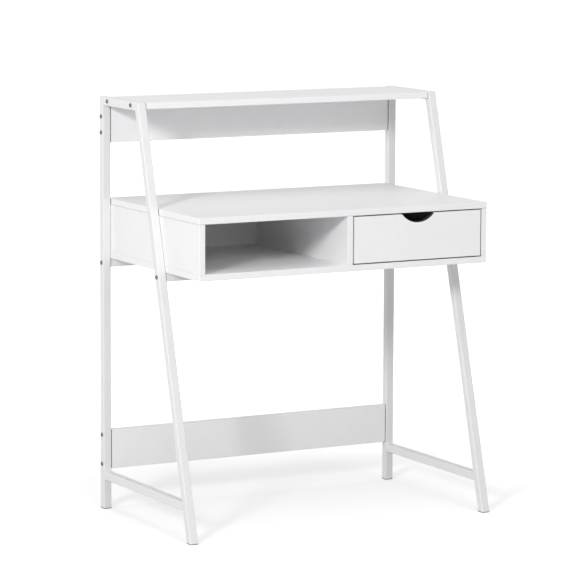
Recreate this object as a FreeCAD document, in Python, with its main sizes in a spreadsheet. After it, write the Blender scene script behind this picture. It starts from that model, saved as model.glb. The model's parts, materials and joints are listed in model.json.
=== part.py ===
import FreeCAD, Part
import os
import re
import Sketcher

# Ladder desk: two welded side frames of square tube, a shelf and two back panels between them,
# and a desk box with an open cubby and a drawer on roller runners.
# Millimetres. +X is right, the front faces -Y, +Z is up, and the floor is at Z = 0.
# The origin lies on the floor, in the middle of the desk's width and depth.

sizes = {
    # side frames
    "frameWidth": 804,         # over both side frames
    "frameHeight": 992,
    "tubeSize": 20,            # square steel tube
    "tubeWall": 1.5,
    "tubeRadius": 2,           # outer corner of the tube
    "legReach": 479,           # rear face to the front leg's toe
    "footRailHeight": 72,      # underside of the foot rail
    "footRim": 2.5,            # plastic rim under a tube
    "footPlug": 16,            # plug inside the tube
    "footFit": 0.2,
    "footBevel": 1.2,
    "overcut": 1,              # a cut runs this far past an open end
    # flat sides that stand in for a circle
    "smallSides": 6,           # hidden fixings and their holes
    "roundSides": 8,           # cams, bolt heads and the rollers' dishes
    # boards
    "board": 15,
    "edgeBreak": 0.8,          # bevel along a board's edges
    "boardEndGap": 2,          # insert flange between a board's end and its tube
    "shelfDepth": 208,
    "shelfDrop": 1.5,          # shelf below the top of the frame
    "shelfBoltRear": 44,       # from the rear edge
    "shelfBoltFront": 38,      # from the front edge
    "upperPanelHeight": 92,
    "upperPanelGap": 0.5,      # under the shelf
    "upperBoltLow": 24,        # from the panel's lower edge
    "upperBoltPitch": 38,
    "lowerPanelHeight": 95,
    "lowerPanelRise": 97,      # floor to the panel's lower edge
    "lowerBoltInset": 12,
    # desk box
    "deskDepth": 482,
    "deskHeight": 750,
    "boxHeight": 144,
    "boxSideGap": 0.5,         # box to side frame
    "railEndGap": 0.5,         # cross rail to side frame
    "railScrewInset": 132,     # outer screws from the side frames
    "cubbyWidth": 369.5,
    "backInset": 18,           # rear edge of the box to its back board
    "jointFront": 50,          # first fixing from the front edge
    "jointRear": 110,          # last fixing from the rear edge
    "jointPitch": 32,          # fixing to its dowel
    "backJoint": 165,          # back board fixings from its ends
    # drawer
    "drawerGap": 2.5,
    "drawerBoard": 12,
    "drawerRearRoom": 34,      # drawer to the box back
    "drawerHeight": 80,
    "drawerLift": 12,          # drawer side above the box bottom
    "drawerBackDrop": 5,       # drawer back below the sides
    "drawerPanel": 3,
    "grooveRise": 10,          # groove above the side's lower edge
    "grooveDepth": 5,
    "panelFit": 0.1,           # play of the bottom in its groove
    "drawerTravel": 290,
    "fingerRadius": 56,
    "fingerDepth": 21,
    "fingerRound": 6,
    "drawerCamRise": 57,       # above the side's lower edge
    "drawerDowelDrop": 32,     # dowel below the cam pin
    "backScrewLow": 30,
    "backScrewHigh": 62,
    "bottomScrewInset": 40,    # outer screws from the drawer's sides
    # roller runners
    "runnerSpace": 12.5,       # drawer side to the wall beside it
    "runnerSetback": 3,        # behind the drawer front
    "sheetSteel": 1.2,
    "runnerClear": 1,
    "runnerLip": 10,           # width under the drawer side
    "runnerOpen": 35,          # upper flange cut back at the front
    "flangeReach": 10.7,
    "trackRise": 3,            # track above the drawer side's lower edge
    "stopHeight": 4,
    "rollerRadius": 8.75,
    "rollerWidth": 7,
    "rollerPlay": 0.3,         # roller to the flange it runs on
    "rollerSlack": 0.2,        # more above a roller than below it
    "rollerInset": 11.5,       # axle from the runner's end
    "rollerWallGap": 2.8,      # wall to the roller
    "rollerHub": 4.2,
    "rollerRim": 7,
    "rollerDish": 1.6,
    "pinRadius": 2.5,
    "pinPlay": 0.1,            # pin in its bore
    "hubPlay": 0.2,            # roller between the collars
    "pinCollar": 4,
    "pinHead": 0.4,
    "runnerScrewFirst": 83,    # from the runner's front end
    "runnerScrewSecond": 213,
    "runnerScrewThird": 323,
    "lipScrewFirst": 60,
    "lipScrewSecond": 200,
    "lipScrewThird": 330,
    # frame bolts and board inserts
    "boltRadius": 3,
    "boltHoleRadius": 3.3,
    "boltLength": 32,
    "boltHead": 2.6,
    "boltHeadRadius": 5.2,
    "boltHeadBevel": 1.6,
    "boltSocket": 2.2,         # centre to corner
    "boltSocketSides": 6,
    "boltSocketDepth": 1.5,
    "insertRadius": 5,
    "insertFlange": 6.5,
    "insertLength": 12,
    "insertHoleExtra": 1,
    "threadPlay": 0.1,
    "endPlate": 4,
    # wood screws, dowels and cam fittings
    "railScrewRadius": 2,
    "railScrewBite": 11,       # into the box bottom
    "railScrewHead": 4,
    "railScrewHeadHeight": 2.2,
    "dowelRadius": 4,
    "dowelLength": 30,
    "dowelTop": 11,            # in the face of a board
    "drillPlay": 0.1,
    "drillExtra": 0.5,         # hole deeper than what it holds
    "camRadius": 7.5,
    "camDepth": 12,
    "camReach": 24,            # board's end to the cam's axis
    "camPinRadius": 3.4,
    "camPinThread": 2.5,
    "camPinTail": 3,           # past the cam's axis
    "camPinBite": 10.5,
    "boxScrewRadius": 2.5,
    "boxScrewLength": 50,
    "boxScrewHead": 5,
    "boxScrewHeadHeight": 1.8,
    "smallCamRadius": 6,
    "smallCamDepth": 10,
    "smallPinRadius": 2.7,
    "smallPinThread": 2,
    "smallDowelRadius": 3,
    "smallDowelLength": 28,
    "smallDowelTop": 9,
    "backScrewRadius": 1.7,
    "backScrewLength": 32,
    "backScrewHead": 3,
    "backScrewHeadHeight": 1.6,
    "bottomScrewRadius": 1.4,
    "bottomScrewLength": 14,
    "bottomScrewHead": 2.8,
    "bottomScrewHeadHeight": 1,
    "runnerScrewRadius": 1.6,
    "runnerScrewBite": 11.5,
    "runnerScrewHead": 3.4,
    "runnerScrewHeadHeight": 0.6,
    "lipScrewRadius": 1.4,
    "lipScrewBite": 8,
    "lipScrewHead": 3,
    "lipScrewHeadHeight": 1.4,
}

doc = FreeCAD.newDocument("LadderDesk")
sheet = doc.addObject("Spreadsheet::Sheet", "Size")
for row, (alias, number) in enumerate(sizes.items(), 1):
    sheet.set(f"A{row}", alias)
    sheet.set(f"B{row}", str(number))
    sheet.setAlias(f"B{row}", alias)
doc.recompute()

planeRoles = {"x": "YZ_Plane", "y": "XZ_Plane", "z": "XY_Plane"}
planeSigns = {"x": 1, "y": -1, "z": 1}    # the XZ plane's normal points along -Y
nodes = []


# ---- expressions and sketches

def tied(expression):
    """The expression with each size named as a cell of the sheet."""
    def cell(word):
        return "Size." + word.group() if word.group() in sizes else word.group()
    return re.sub(r"[A-Za-z]+", cell, expression)


def value(expression):
    return float(sheet.evalExpression(tied(expression)))


def bind(thing, name, expression):
    thing.setExpression(name, tied(expression))


def newBody(label):
    body = doc.addObject("PartDesign::Body", label)
    body.Label = label
    return body


def node(thing, x="0", y="0", z="0"):
    """Puts a sub-part in its place and lists it for the STEP files."""
    for letter, distance in zip("xyz", (x, y, z)):
        if distance != "0":
            bind(thing, f"Placement.Base.{letter}", distance)
    nodes.append(thing)
    return thing


def newSketch(body, axis, at="0"):
    """A sketch square to an axis, at a distance along it."""
    sketch = body.newObject("Sketcher::SketchObject", "Sketch")
    role = planeRoles[axis]
    plane = next(item for item in body.Origin.OriginFeatures if item.Role == role)
    sketch.AttachmentSupport = [(plane, "")]
    sketch.MapMode = "FlatFace"
    if at != "0":
        bind(sketch, "AttachmentOffset.Base.z", f"{planeSigns[axis]}*({at})")
    return sketch


def place(geometry, point, u, v):
    """Rules that tie a sketch point to its distances from the sketch's origin."""
    rules = []
    for kind, axis, distance in (("DistanceX", -2, u), ("DistanceY", -1, v)):
        if distance == "0":
            rules.append((Sketcher.Constraint("PointOnObject", geometry, point, axis), None))
        else:
            rule = Sketcher.Constraint(kind, -1, 1, geometry, point, value(distance))
            rules.append((rule, distance))
    return rules


def addRules(sketch, rules):
    """Adds constraints, each given with the expression of its size or None."""
    first = sketch.ConstraintCount
    sketch.addConstraint([rule for rule, _ in rules])
    for number, (_, expression) in enumerate(rules, first):
        if expression:
            sketch.renameConstraint(number, f"size{number}")
            bind(sketch, f"Constraints.size{number}", expression)


def closed(first, count):
    """Rules that join a run of lines end to end."""
    turns = [(first + i, first + (i + 1) % count) for i in range(count)]
    return [(Sketcher.Constraint("Coincident", line, 2, after, 1), None) for line, after in turns]


def addOutline(sketch, points):
    """A closed outline of straight lines through points given as expressions."""
    first = sketch.GeometryCount
    count = len(points)
    corners = [FreeCAD.Vector(value(u), value(v), 0) for u, v in points]
    for i in range(count):
        sketch.addGeometry(Part.LineSegment(corners[i], corners[(i + 1) % count]), False)
    rules = closed(first, count)
    for i, (u, v) in enumerate(points):
        rules += place(first + i, 1, u, v)
    addRules(sketch, rules)


def addRectangle(sketch, u0, v0, u1, v1):
    addOutline(sketch, [(u0, v0), (u1, v0), (u1, v1), (u0, v1)])


def addCircle(sketch, u, v, radius, construction=False):
    centre = FreeCAD.Vector(value(u), value(v), 0)
    circle = Part.Circle(centre, FreeCAD.Vector(0, 0, 1), value(radius))
    ring = sketch.addGeometry(circle, construction)
    size = Sketcher.Constraint("Radius", ring, value(radius))
    addRules(sketch, place(ring, 3, u, v) + [(size, radius)])
    return ring


def addPolygon(sketch, u, v, radius, sides):
    """A regular polygon in a circle, with a corner towards the sketch's +X."""
    ring = addCircle(sketch, u, v, radius, True)
    centre = FreeCAD.Vector(value(u), value(v), 0)
    spoke = FreeCAD.Vector(value(radius), 0, 0)
    count = round(value(sides))
    steps = [FreeCAD.Rotation(FreeCAD.Vector(0, 0, 1), 360*i/count) for i in range(count)]
    corners = [centre + step.multVec(spoke) for step in steps]
    first = ring + 1
    for i in range(count):
        sketch.addGeometry(Part.LineSegment(corners[i - 1], corners[i]), False)
    rules = closed(first, count)
    rules += [(Sketcher.Constraint("Equal", first, first + i), None) for i in range(1, count)]
    rules += [(Sketcher.Constraint("PointOnObject", first + i, 2, ring), None) for i in range(count)]
    rules.append((Sketcher.Constraint("Horizontal", ring, 3, first, 2), None))
    addRules(sketch, rules)


# ---- features

def pad(body, sketch, axis, length, way=1):
    """Adds a sketch's solid towards +axis (1), -axis (-1) or both ways (0)."""
    feature = body.newObject("PartDesign::Pad", "Pad")
    feature.Profile = sketch
    feature.SideType = "One side" if way else "Symmetric"
    feature.Reversed = way * planeSigns[axis] < 0
    bind(feature, "Length", length)
    sketch.Visibility = False
    doc.recompute()
    return feature


def cut(body, sketch, axis, depth, way=1):
    """Cuts a sketch's solid away towards +axis (1), -axis (-1) or both ways (0)."""
    feature = body.newObject("PartDesign::Pocket", "Pocket")
    feature.Profile = sketch
    feature.SideType = "One side" if way else "Symmetric"
    feature.Reversed = way * planeSigns[axis] > 0
    bind(feature, "Length", depth)
    sketch.Visibility = False
    doc.recompute()
    return feature


def drill(body, axis, at, centres, radius, depth, way=1, sides="smallSides"):
    """Holes along an axis, starting at a distance along it."""
    sketch = newSketch(body, axis, at)
    for u, v in centres:
        addPolygon(sketch, u, v, radius, sides)
    return cut(body, sketch, axis, depth, way)


def workEdges(body, kind, wanted):
    """A fillet or chamfer on the edges of the newest feature that the test picks by their box."""
    base = body.Tip
    names = []
    for number, edge in enumerate(base.Shape.Edges, 1):
        if wanted(edge.BoundBox):
            names.append(f"Edge{number}")
    feature = body.newObject(f"PartDesign::{kind}", kind)
    feature.Base = (base, names)
    return feature


def roundEdges(body, radius, wanted):
    bind(workEdges(body, "Fillet", wanted), "Radius", radius)
    doc.recompute()


def bevelEdges(body, size, wanted=lambda box: True):
    bind(workEdges(body, "Chamfer", wanted), "Size", size)
    doc.recompute()


def turned(body, points):
    """A solid of revolution about X, from (distance along X, radius) points."""
    sketch = newSketch(body, "y")
    addOutline(sketch, points)
    feature = body.newObject("PartDesign::Revolution", "Revolution")
    feature.Profile = sketch
    feature.ReferenceAxis = (sketch, ["H_Axis"])
    feature.Angle = 360
    sketch.Visibility = False
    doc.recompute()
    return feature


def addStep(body, start, end, radius, sides="smallSides"):
    sketch = newSketch(body, "x", start)
    addPolygon(sketch, "0", "0", radius, sides)
    pad(body, sketch, "x", f"({end}) - ({start})")


def stepped(name, steps, sides="smallSides"):
    """A small solid along +X, from (start, end, radius) steps."""
    body = newBody(name)
    for start, end, radius in steps:
        addStep(body, start, end, radius, sides)
    return body


def boardBody(label, width, depth, height):
    """A board with its low corner at the body's origin."""
    body = newBody(label)
    sketch = newSketch(body, "z")
    addRectangle(sketch, "0", "0", width, depth)
    pad(body, sketch, "z", height)
    return body


turns = {
    "+x": FreeCAD.Rotation(),
    "-x": FreeCAD.Rotation(FreeCAD.Vector(0, 0, 1), 180),
    "+y": FreeCAD.Rotation(FreeCAD.Vector(0, 0, 1), 90),
    "-y": FreeCAD.Rotation(FreeCAD.Vector(0, 0, 1), -90),
    "+z": FreeCAD.Rotation(FreeCAD.Vector(1, 1, 1), -120),
}


def copies(label, master, places):
    """Copies of one small piece, each turned to point its own +X the given way."""
    links = []
    for x, y, z, way in places:
        link = doc.addObject("App::Link", master.Name + "Copy")
        link.LinkedObject = master
        link.Placement = FreeCAD.Placement(FreeCAD.Vector(), turns[way])
        for letter, distance in zip("xyz", (x, y, z)):
            bind(link, f"Placement.Base.{letter}", distance)
        links.append(link)
    compound = doc.addObject("Part::Compound", label)
    compound.Label = label
    compound.Links = links
    nodes.append(compound)


# ---- distances that several pieces share

rear = "(deskDepth/2)"
front = "(-deskDepth/2)"
tubeX = "((frameWidth - tubeSize)/2)"
slope = "((legReach - shelfDepth)/frameHeight)"
stretch = f"sqrt(1 + {slope}*{slope})"          # level section of a leaning tube
legDepth = f"(tubeSize*{stretch})"
span = "(frameWidth - 2*tubeSize)"              # between the side frames
endBoard = f"({span} - 2*boardEndGap)"          # shelf and back panels
boxWidth = f"({span} - 2*boxSideGap)"
boxBottom = "(deskHeight - boxHeight)"
innerBottom = f"({boxBottom} + board)"
innerHeight = "(boxHeight - 2*board)"
shelfBottom = "(frameHeight - shelfDrop - board)"
shelfMiddle = f"({shelfBottom} + board/2)"
panelBottom = f"({shelfBottom} - upperPanelGap - upperPanelHeight)"
panelFace = f"({rear} - tubeSize/2 - board/2)"  # front face of a back panel
crossZ = f"({boxBottom} - tubeSize/2)"
backFace = f"({rear} - backInset - board)"      # front face of the box back
dividerLeft = f"(board + cubbyWidth - {boxWidth}/2)"
openLeft = f"({dividerLeft} + board)"
openRight = f"({boxWidth}/2 - board)"
openWidth = f"({openRight} - {openLeft})"
drawerMiddle = f"(({openLeft} + {openRight})/2)"
drawerLength = f"({backFace} - {front} - board - drawerRearRoom)"
runnerLength = drawerLength
drawerWide = f"({openWidth} - 2*runnerSpace)"
drawerInner = f"({drawerWide} - 2*drawerBoard)"
drawerLow = f"({innerBottom} + drawerLift)"
drawerFrontRear = f"({front} + board)"          # rear face of the drawer front
track = f"({drawerLow} + trackRise)"
flangeUnder = "(2*rollerRadius + 2*rollerPlay + rollerSlack)"
channelHeight = f"({flangeUnder} + sheetSteel + runnerClear)"
cabinetAxle = f"({flangeUnder} - rollerRadius - rollerPlay)"
drawerAxle = "(rollerRadius + rollerPlay)"
runnerFront = f"({drawerFrontRear} + runnerSetback)"
runnerRear = f"({runnerFront} + {runnerLength})"
drawerRear = f"({drawerFrontRear} + {drawerLength})"


def legFront(z):
    return f"({rear} - legReach + {slope}*({z}))"


def legRear(z):
    return f"({legFront(z)} + {legDepth})"


rearRailY = f"({rear} - tubeSize/2)"
frontRailY = f"({legFront(crossZ)} + {legDepth}/2)"
shelfBolts = [f"({rear} - shelfBoltRear)", f"({rear} - shelfDepth + shelfBoltFront)"]
upperBolts = [f"({panelBottom} + upperBoltLow)", f"({panelBottom} + upperBoltLow + upperBoltPitch)"]
lowerBolts = ["(lowerPanelRise + lowerBoltInset)", "(lowerPanelRise + lowerPanelHeight - lowerBoltInset)"]
jointRows = ["jointFront", "(deskDepth - jointRear)"]
dowelRows = ["(jointFront + jointPitch)", "(deskDepth - jointRear - jointPitch)"]
uprights = [f"(board/2 - {boxWidth}/2)", f"({dividerLeft} + board/2)", f"({boxWidth}/2 - board/2)"]
backJoints = ["(board + backJoint)", f"({boxWidth} - board - backJoint)"]
backRow = "(deskDepth - backInset - board/2)"
railScrews = [f"(railScrewInset - {span}/2)", "0", f"({span}/2 - railScrewInset)"]
bottomScrews = [f"(bottomScrewInset - {drawerInner}/2)", "0", f"({drawerInner}/2 - bottomScrewInset)"]
sides = {"left": -1, "right": 1}


# ---- side frames

def sideTube(label, side, profile, hollow, holes=()):
    """A square tube in a side frame, from its outline seen from the side."""
    body = newBody(label)
    sketch = newSketch(body, "x")
    addOutline(sketch, profile)
    pad(body, sketch, "x", "tubeSize", 0)
    longest = 2*value("tubeSize")
    roundEdges(body, "tubeRadius", lambda box: box.XLength < 0.001 and box.DiagonalLength > longest)
    inside = newSketch(body, "x")
    addOutline(inside, hollow)
    cut(body, inside, "x", "tubeSize - 2*tubeWall", 0)
    if holes:
        drill(body, "x", "0", holes, "boltHoleRadius", "tubeSize", 0)
    node(body, x=f"{sides[side]}*{tubeX}")


def rearPost(side):
    """Upright post, mitred at the top."""
    high = "(frameHeight - tubeSize)"
    near = f"({rear} - tubeSize)"
    profile = [(rear, "footRim"), (near, "footRim"), (near, high), (rear, "frameHeight")]
    inner = f"({rear} - tubeWall)"
    outer = f"({near} + tubeWall)"
    hollow = [(inner, "(footRim - overcut)"), (outer, "(footRim - overcut)")]
    hollow += [(outer, "(frameHeight + overcut)"), (inner, "(frameHeight + overcut)")]
    heights = lowerBolts + [crossZ] + upperBolts
    sideTube(f"{side}_rear_post", side, profile, hollow, [(rearRailY, z) for z in heights])


def frontLeg(side):
    """Leaning leg, cut level at the foot and mitred at the top."""
    high = "(frameHeight - tubeSize)"
    profile = [(legFront("footRim"), "footRim"), (legRear("footRim"), "footRim")]
    profile += [(legRear(high), high), (f"({rear} - shelfDepth)", "frameHeight")]
    wall = f"tubeWall*{stretch}"
    low = "(footRim - overcut)"
    top = "(frameHeight + overcut)"
    hollow = [(f"({legFront(low)} + {wall})", low), (f"({legRear(low)} - {wall})", low)]
    hollow += [(f"({legRear(top)} - {wall})", top), (f"({legFront(top)} + {wall})", top)]
    sideTube(f"{side}_front_leg", side, profile, hollow, [(frontRailY, crossZ)])


def topRail(side):
    """Level rail over the post and leg, mitred at both ends."""
    low = "(frameHeight - tubeSize)"
    toe = f"({rear} - shelfDepth)"
    profile = [(f"({rear} - tubeSize)", low), (legRear(low), low)]
    profile += [(toe, "frameHeight"), (rear, "frameHeight")]
    inside = f"({low} + tubeWall)"
    under = "(frameHeight - tubeWall)"
    hollow = [(f"({rear} + overcut)", inside), (f"({toe} - overcut)", inside)]
    hollow += [(f"({toe} - overcut)", under), (f"({rear} + overcut)", under)]
    sideTube(f"{side}_top_rail", side, profile, hollow, [(y, shelfMiddle) for y in shelfBolts])


def footRail(side):
    """Low rail, square at the post and cut to the leg's lean."""
    low = "footRailHeight"
    high = "(footRailHeight + tubeSize)"
    post = f"({rear} - tubeSize)"
    profile = [(post, low), (legRear(low), low), (legRear(high), high), (post, high)]
    inside = "(footRailHeight + tubeWall)"
    under = "(footRailHeight + tubeSize - tubeWall)"
    hollow = [(f"({post} + overcut)", inside), (f"({legFront(low)})", inside)]
    hollow += [(f"({legFront(low)})", under), (f"({post} + overcut)", under)]
    sideTube(f"{side}_foot_rail", side, profile, hollow)


def foot(label, side, rim, plug):
    """Plastic end plug: a rim on the floor and a plug up the tube."""
    body = newBody(label)
    sketch = newSketch(body, "x")
    addOutline(sketch, rim)
    pad(body, sketch, "x", "tubeSize", 0)
    high = 0.9*value("footRim")
    bevelEdges(body, "footBevel", lambda box: box.XLength < 0.001 and box.ZLength > high)
    stem = newSketch(body, "x")
    addOutline(stem, plug)
    pad(body, stem, "x", "tubeSize - 2*tubeWall - 2*footFit", 0)
    node(body, x=f"{sides[side]}*{tubeX}")


def rearFoot(side):
    near = f"({rear} - tubeSize)"
    rim = [(rear, "0"), (near, "0"), (near, "footRim"), (rear, "footRim")]
    inner = f"({rear} - tubeWall - footFit)"
    outer = f"({near} + tubeWall + footFit)"
    top = "(footRim + footPlug)"
    plug = [(inner, "(footRim/2)"), (outer, "(footRim/2)"), (outer, top), (inner, top)]
    foot(f"{side}_rear_foot", side, rim, plug)


def frontFoot(side):
    rim = [(legFront("0"), "0"), (legRear("0"), "0")]
    rim += [(legRear("footRim"), "footRim"), (legFront("footRim"), "footRim")]
    wall = f"(tubeWall + footFit)*{stretch}"
    low = "(footRim/2)"
    top = "(footRim + footPlug)"
    plug = [(f"({legFront(low)} + {wall})", low), (f"({legRear(low)} - {wall})", low)]
    plug += [(f"({legRear(top)} - {wall})", top), (f"({legFront(top)} + {wall})", top)]
    foot(f"{side}_front_foot", side, rim, plug)


def crossRail(label, y):
    """Square tube under the box, from side frame to side frame."""
    body = newBody(label)
    sketch = newSketch(body, "x")
    half = "(tubeSize/2)"
    addRectangle(sketch, f"-{half}", f"-{half}", half, half)
    length = f"({span} - 2*railEndGap)"
    pad(body, sketch, "x", length, 0)
    roundEdges(body, "tubeRadius", lambda box: box.YLength < 0.001 and box.ZLength < 0.001)
    inside = newSketch(body, "x")
    bore = "(tubeSize/2 - tubeWall)"
    addRectangle(inside, f"-{bore}", f"-{bore}", bore, bore)
    cut(body, inside, "x", length, 0)
    holes = [(x, "0") for x in railScrews]
    drill(body, "z", "0", holes, "railScrewRadius + drillPlay", "tubeSize", 0)
    node(body, y=y, z=crossZ)


def railEndPlates():
    """Threaded plates welded into the ends of the cross rails."""
    body = newBody("EndPlate")
    sketch = newSketch(body, "x")
    half = "(tubeSize/2 - tubeWall - drillPlay)"
    addRectangle(sketch, f"-{half}", f"-{half}", half, half)
    addPolygon(sketch, "0", "0", "boltRadius + threadPlay", "smallSides")
    pad(body, sketch, "x", "endPlate")
    end = f"({span}/2 - railEndGap)"
    places = [(f"-{end}", y, crossZ, "+x") for y in (rearRailY, frontRailY)]
    places += [(end, y, crossZ, "-x") for y in (rearRailY, frontRailY)]
    copies("rail_end_plates", body, places)


# ---- shelf and back panels

def endHoles(body, width, centres):
    """Holes for the inserts in both ends of a board."""
    depth = "insertLength + insertHoleExtra"
    radius = "insertRadius + drillPlay"
    drill(body, "x", "0", centres, radius, depth, 1)
    drill(body, "x", width, centres, radius, depth, -1)


def topShelf():
    body = boardBody("top_shelf", endBoard, "shelfDepth", "board")
    bevelEdges(body, "edgeBreak")
    rows = ["shelfBoltFront", "(shelfDepth - shelfBoltRear)"]
    endHoles(body, endBoard, [(y, "board/2") for y in rows])
    node(body, f"-{endBoard}/2", f"{rear} - shelfDepth", shelfBottom)


def backPanel(label, height, rise, rows):
    body = boardBody(label, endBoard, "board", height)
    bevelEdges(body, "edgeBreak")
    endHoles(body, endBoard, [("board/2", z) for z in rows])
    node(body, f"-{endBoard}/2", panelFace, rise)


# ---- desk box

def deskTop():
    """Top board, drilled from below for cam pins and dowels."""
    body = boardBody("desk_top", boxWidth, "deskDepth", "board")
    bevelEdges(body, "edgeBreak")
    centres = [f"({x} + {boxWidth}/2)" for x in uprights]
    pins = [(x, y) for x in centres for y in jointRows]
    dowels = [(x, y) for x in centres for y in dowelRows]
    dowels += [(x, backRow) for x in backJoints]
    drill(body, "z", "0", pins, "camPinThread + drillPlay", "camPinBite + drillExtra", 1)
    drill(body, "z", "0", dowels, "dowelRadius + drillPlay", "dowelTop + drillExtra", 1)
    node(body, f"-{boxWidth}/2", front, "deskHeight - board")


def boxFloor():
    """Bottom board, drilled for screws up into the uprights and from the cross rails."""
    body = boardBody("box_bottom", boxWidth, "deskDepth", "board")
    bevelEdges(body, "edgeBreak")
    centres = [f"({x} + {boxWidth}/2)" for x in uprights]
    screws = [(x, y) for x in centres for y in jointRows]
    screws += [(x, backRow) for x in backJoints]
    drill(body, "z", "0", screws, "boxScrewRadius + drillPlay", "board", 1)
    drill(body, "z", "0", screws, "boxScrewHead + drillPlay", "boxScrewHeadHeight", 1)
    middle = f"{boxWidth}/2"
    pilots = []
    for y in (rearRailY, frontRailY):
        row = f"({y} - {front})"
        pilots += [(f"({middle} + {x})", row) for x in railScrews]
    drill(body, "z", "0", pilots, "railScrewRadius + drillPlay", "railScrewBite + drillExtra", 1)
    node(body, f"-{boxWidth}/2", front, boxBottom)


def upright(label, depth, corner, camFace):
    """Upright board of the box: cams and dowels at the top, screws below."""
    body = boardBody(label, "board", depth, innerHeight)
    bevelEdges(body, "edgeBreak", lambda box: box.YMax < 0.001 and box.XLength < 0.001)
    dowels = [("board/2", y) for y in dowelRows]
    screws = [("board/2", y) for y in jointRows]
    dowelDepth = "dowelLength - dowelTop + drillExtra"
    camHeight = f"({innerHeight} - camReach)"
    drill(body, "z", innerHeight, dowels, "dowelRadius + drillPlay", dowelDepth, -1)
    drill(body, "z", innerHeight, screws, "camPinRadius + drillPlay", "camReach", -1)
    screwDepth = "boxScrewLength - board + drillExtra"
    drill(body, "z", "0", screws, "boxScrewRadius + drillPlay", screwDepth, 1)
    cams = [(y, camHeight) for y in jointRows]
    depthOfCam = "camDepth + drillExtra"
    if camFace == "right":
        drill(body, "x", "board", cams, "camRadius + drillPlay", depthOfCam, -1, "roundSides")
    else:
        drill(body, "x", "0", cams, "camRadius + drillPlay", depthOfCam, 1, "roundSides")
    node(body, corner, front, innerBottom)
    return body


def runnerPilots(body, wall, way):
    """Pilot holes for the cabinet runner's screws."""
    rows = ["runnerScrewFirst", "runnerScrewSecond", "runnerScrewThird"]
    height = f"(drawerLift + trackRise + {drawerAxle})"
    centres = [(f"(board + runnerSetback + {y})", height) for y in rows]
    drill(body, "x", wall, centres, "runnerScrewRadius + drillPlay", "runnerScrewBite + drillExtra", way)


def boxBack():
    """Back board between the sides."""
    width = f"({boxWidth} - 2*board)"
    body = boardBody("box_back", width, "board", innerHeight)
    holes = [("backJoint", "board/2"), (f"({width} - backJoint)", "board/2")]
    dowelDepth = "dowelLength - dowelTop + drillExtra"
    drill(body, "z", innerHeight, holes, "dowelRadius + drillPlay", dowelDepth, -1)
    screwDepth = "boxScrewLength - board + drillExtra"
    drill(body, "z", "0", holes, "boxScrewRadius + drillPlay", screwDepth, 1)
    node(body, f"-{width}/2", backFace, innerBottom)


# ---- drawer

def drawerFront():
    """Inset front with a finger pull cut into its top edge."""
    width = f"({openWidth} - 2*drawerGap)"
    height = f"({innerHeight} - 2*drawerGap)"
    body = boardBody("drawer_front", width, "board", height)
    fingerPull(body, width, height)
    roundEdges(body, "fingerRound", lambda box: box.YLength > 1 and shoulder(box, width, height))
    ends = [f"({width} - {drawerWide} + drawerBoard)/2", f"({width} + {drawerWide} - drawerBoard)/2"]
    low = "(drawerLift - drawerGap)"
    pins = [(x, f"({low} + drawerCamRise)") for x in ends]
    dowels = [(x, f"({low} + drawerCamRise - drawerDowelDrop)") for x in ends]
    drill(body, "y", "board", pins, "smallPinThread + drillPlay", "camPinBite + drillExtra", -1)
    drill(body, "y", "board", dowels, "smallDowelRadius + drillPlay", "smallDowelTop + drillExtra", -1)
    groove = newSketch(body, "y", "board")
    start = f"(({width} - {drawerInner})/2 - grooveDepth)"
    bottom = f"({low} + grooveRise)"
    addRectangle(groove, start, bottom, f"({width} - {start})", f"({bottom} + drawerPanel + 2*panelFit)")
    cut(body, groove, "y", "grooveDepth + drillExtra", -1)
    node(body, f"{openLeft} + drawerGap", front, f"{innerBottom} + drawerGap")


def fingerPull(body, width, height):
    """Cuts the arc of the finger pull through the drawer front."""
    sketch = newSketch(body, "y")
    addCircle(sketch, f"({width}/2)", f"({height} - fingerDepth + fingerRadius)", "fingerRadius")
    cut(body, sketch, "y", "board", 1)


def shoulder(box, width, height):
    """True for the two edges where the finger pull meets the top edge."""
    atTop = box.ZMin > value(height) - 0.001
    inside = box.XMin > 1 and box.XMax < value(width) - 1
    return atTop and inside and box.XLength < 0.001


def drawerSide(side):
    """Drawer side with its groove, joint holes and pilot holes."""
    body = boardBody(f"drawer_{side}_side", "drawerBoard", drawerLength, "drawerHeight")
    atLeft = side == "left"
    inner = "drawerBoard" if atLeft else "0"
    inward = -1 if atLeft else 1
    outer = "0" if atLeft else "drawerBoard"
    middle = "(drawerBoard/2)"
    groove = newSketch(body, "x", inner)
    addRectangle(groove, "0", "grooveRise", drawerLength, "(grooveRise + drawerPanel + 2*panelFit)")
    cut(body, groove, "x", "grooveDepth", inward)
    dowelRow = "(drawerCamRise - drawerDowelDrop)"
    dowelDepth = "smallDowelLength - smallDowelTop + drillExtra"
    drill(body, "y", "0", [(middle, "drawerCamRise")], "smallPinRadius + drillPlay", "camReach", 1)
    drill(body, "y", "0", [(middle, dowelRow)], "smallDowelRadius + drillPlay", dowelDepth, 1)
    cam = [("camReach", "drawerCamRise")]
    camDepth = "smallCamDepth + drillExtra"
    drill(body, "x", inner, cam, "smallCamRadius + drillPlay", camDepth, inward, "roundSides")
    row = f"({drawerLength} - drawerBoard/2)"
    screws = [(row, "backScrewLow"), (row, "backScrewHigh")]
    drill(body, "x", outer, screws, "backScrewRadius + drillPlay", "drawerBoard", -inward)
    drill(body, "x", outer, screws, "backScrewHead + drillPlay", "backScrewHeadHeight", -inward)
    pilots = [(middle, y) for y in ("lipScrewFirst", "lipScrewSecond", "lipScrewThird")]
    drill(body, "z", "0", pilots, "lipScrewRadius + drillPlay", "lipScrewBite + drillExtra", 1)
    x = f"{openLeft} + runnerSpace" if atLeft else f"{openRight} - runnerSpace - drawerBoard"
    node(body, x, drawerFrontRear, drawerLow)


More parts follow.
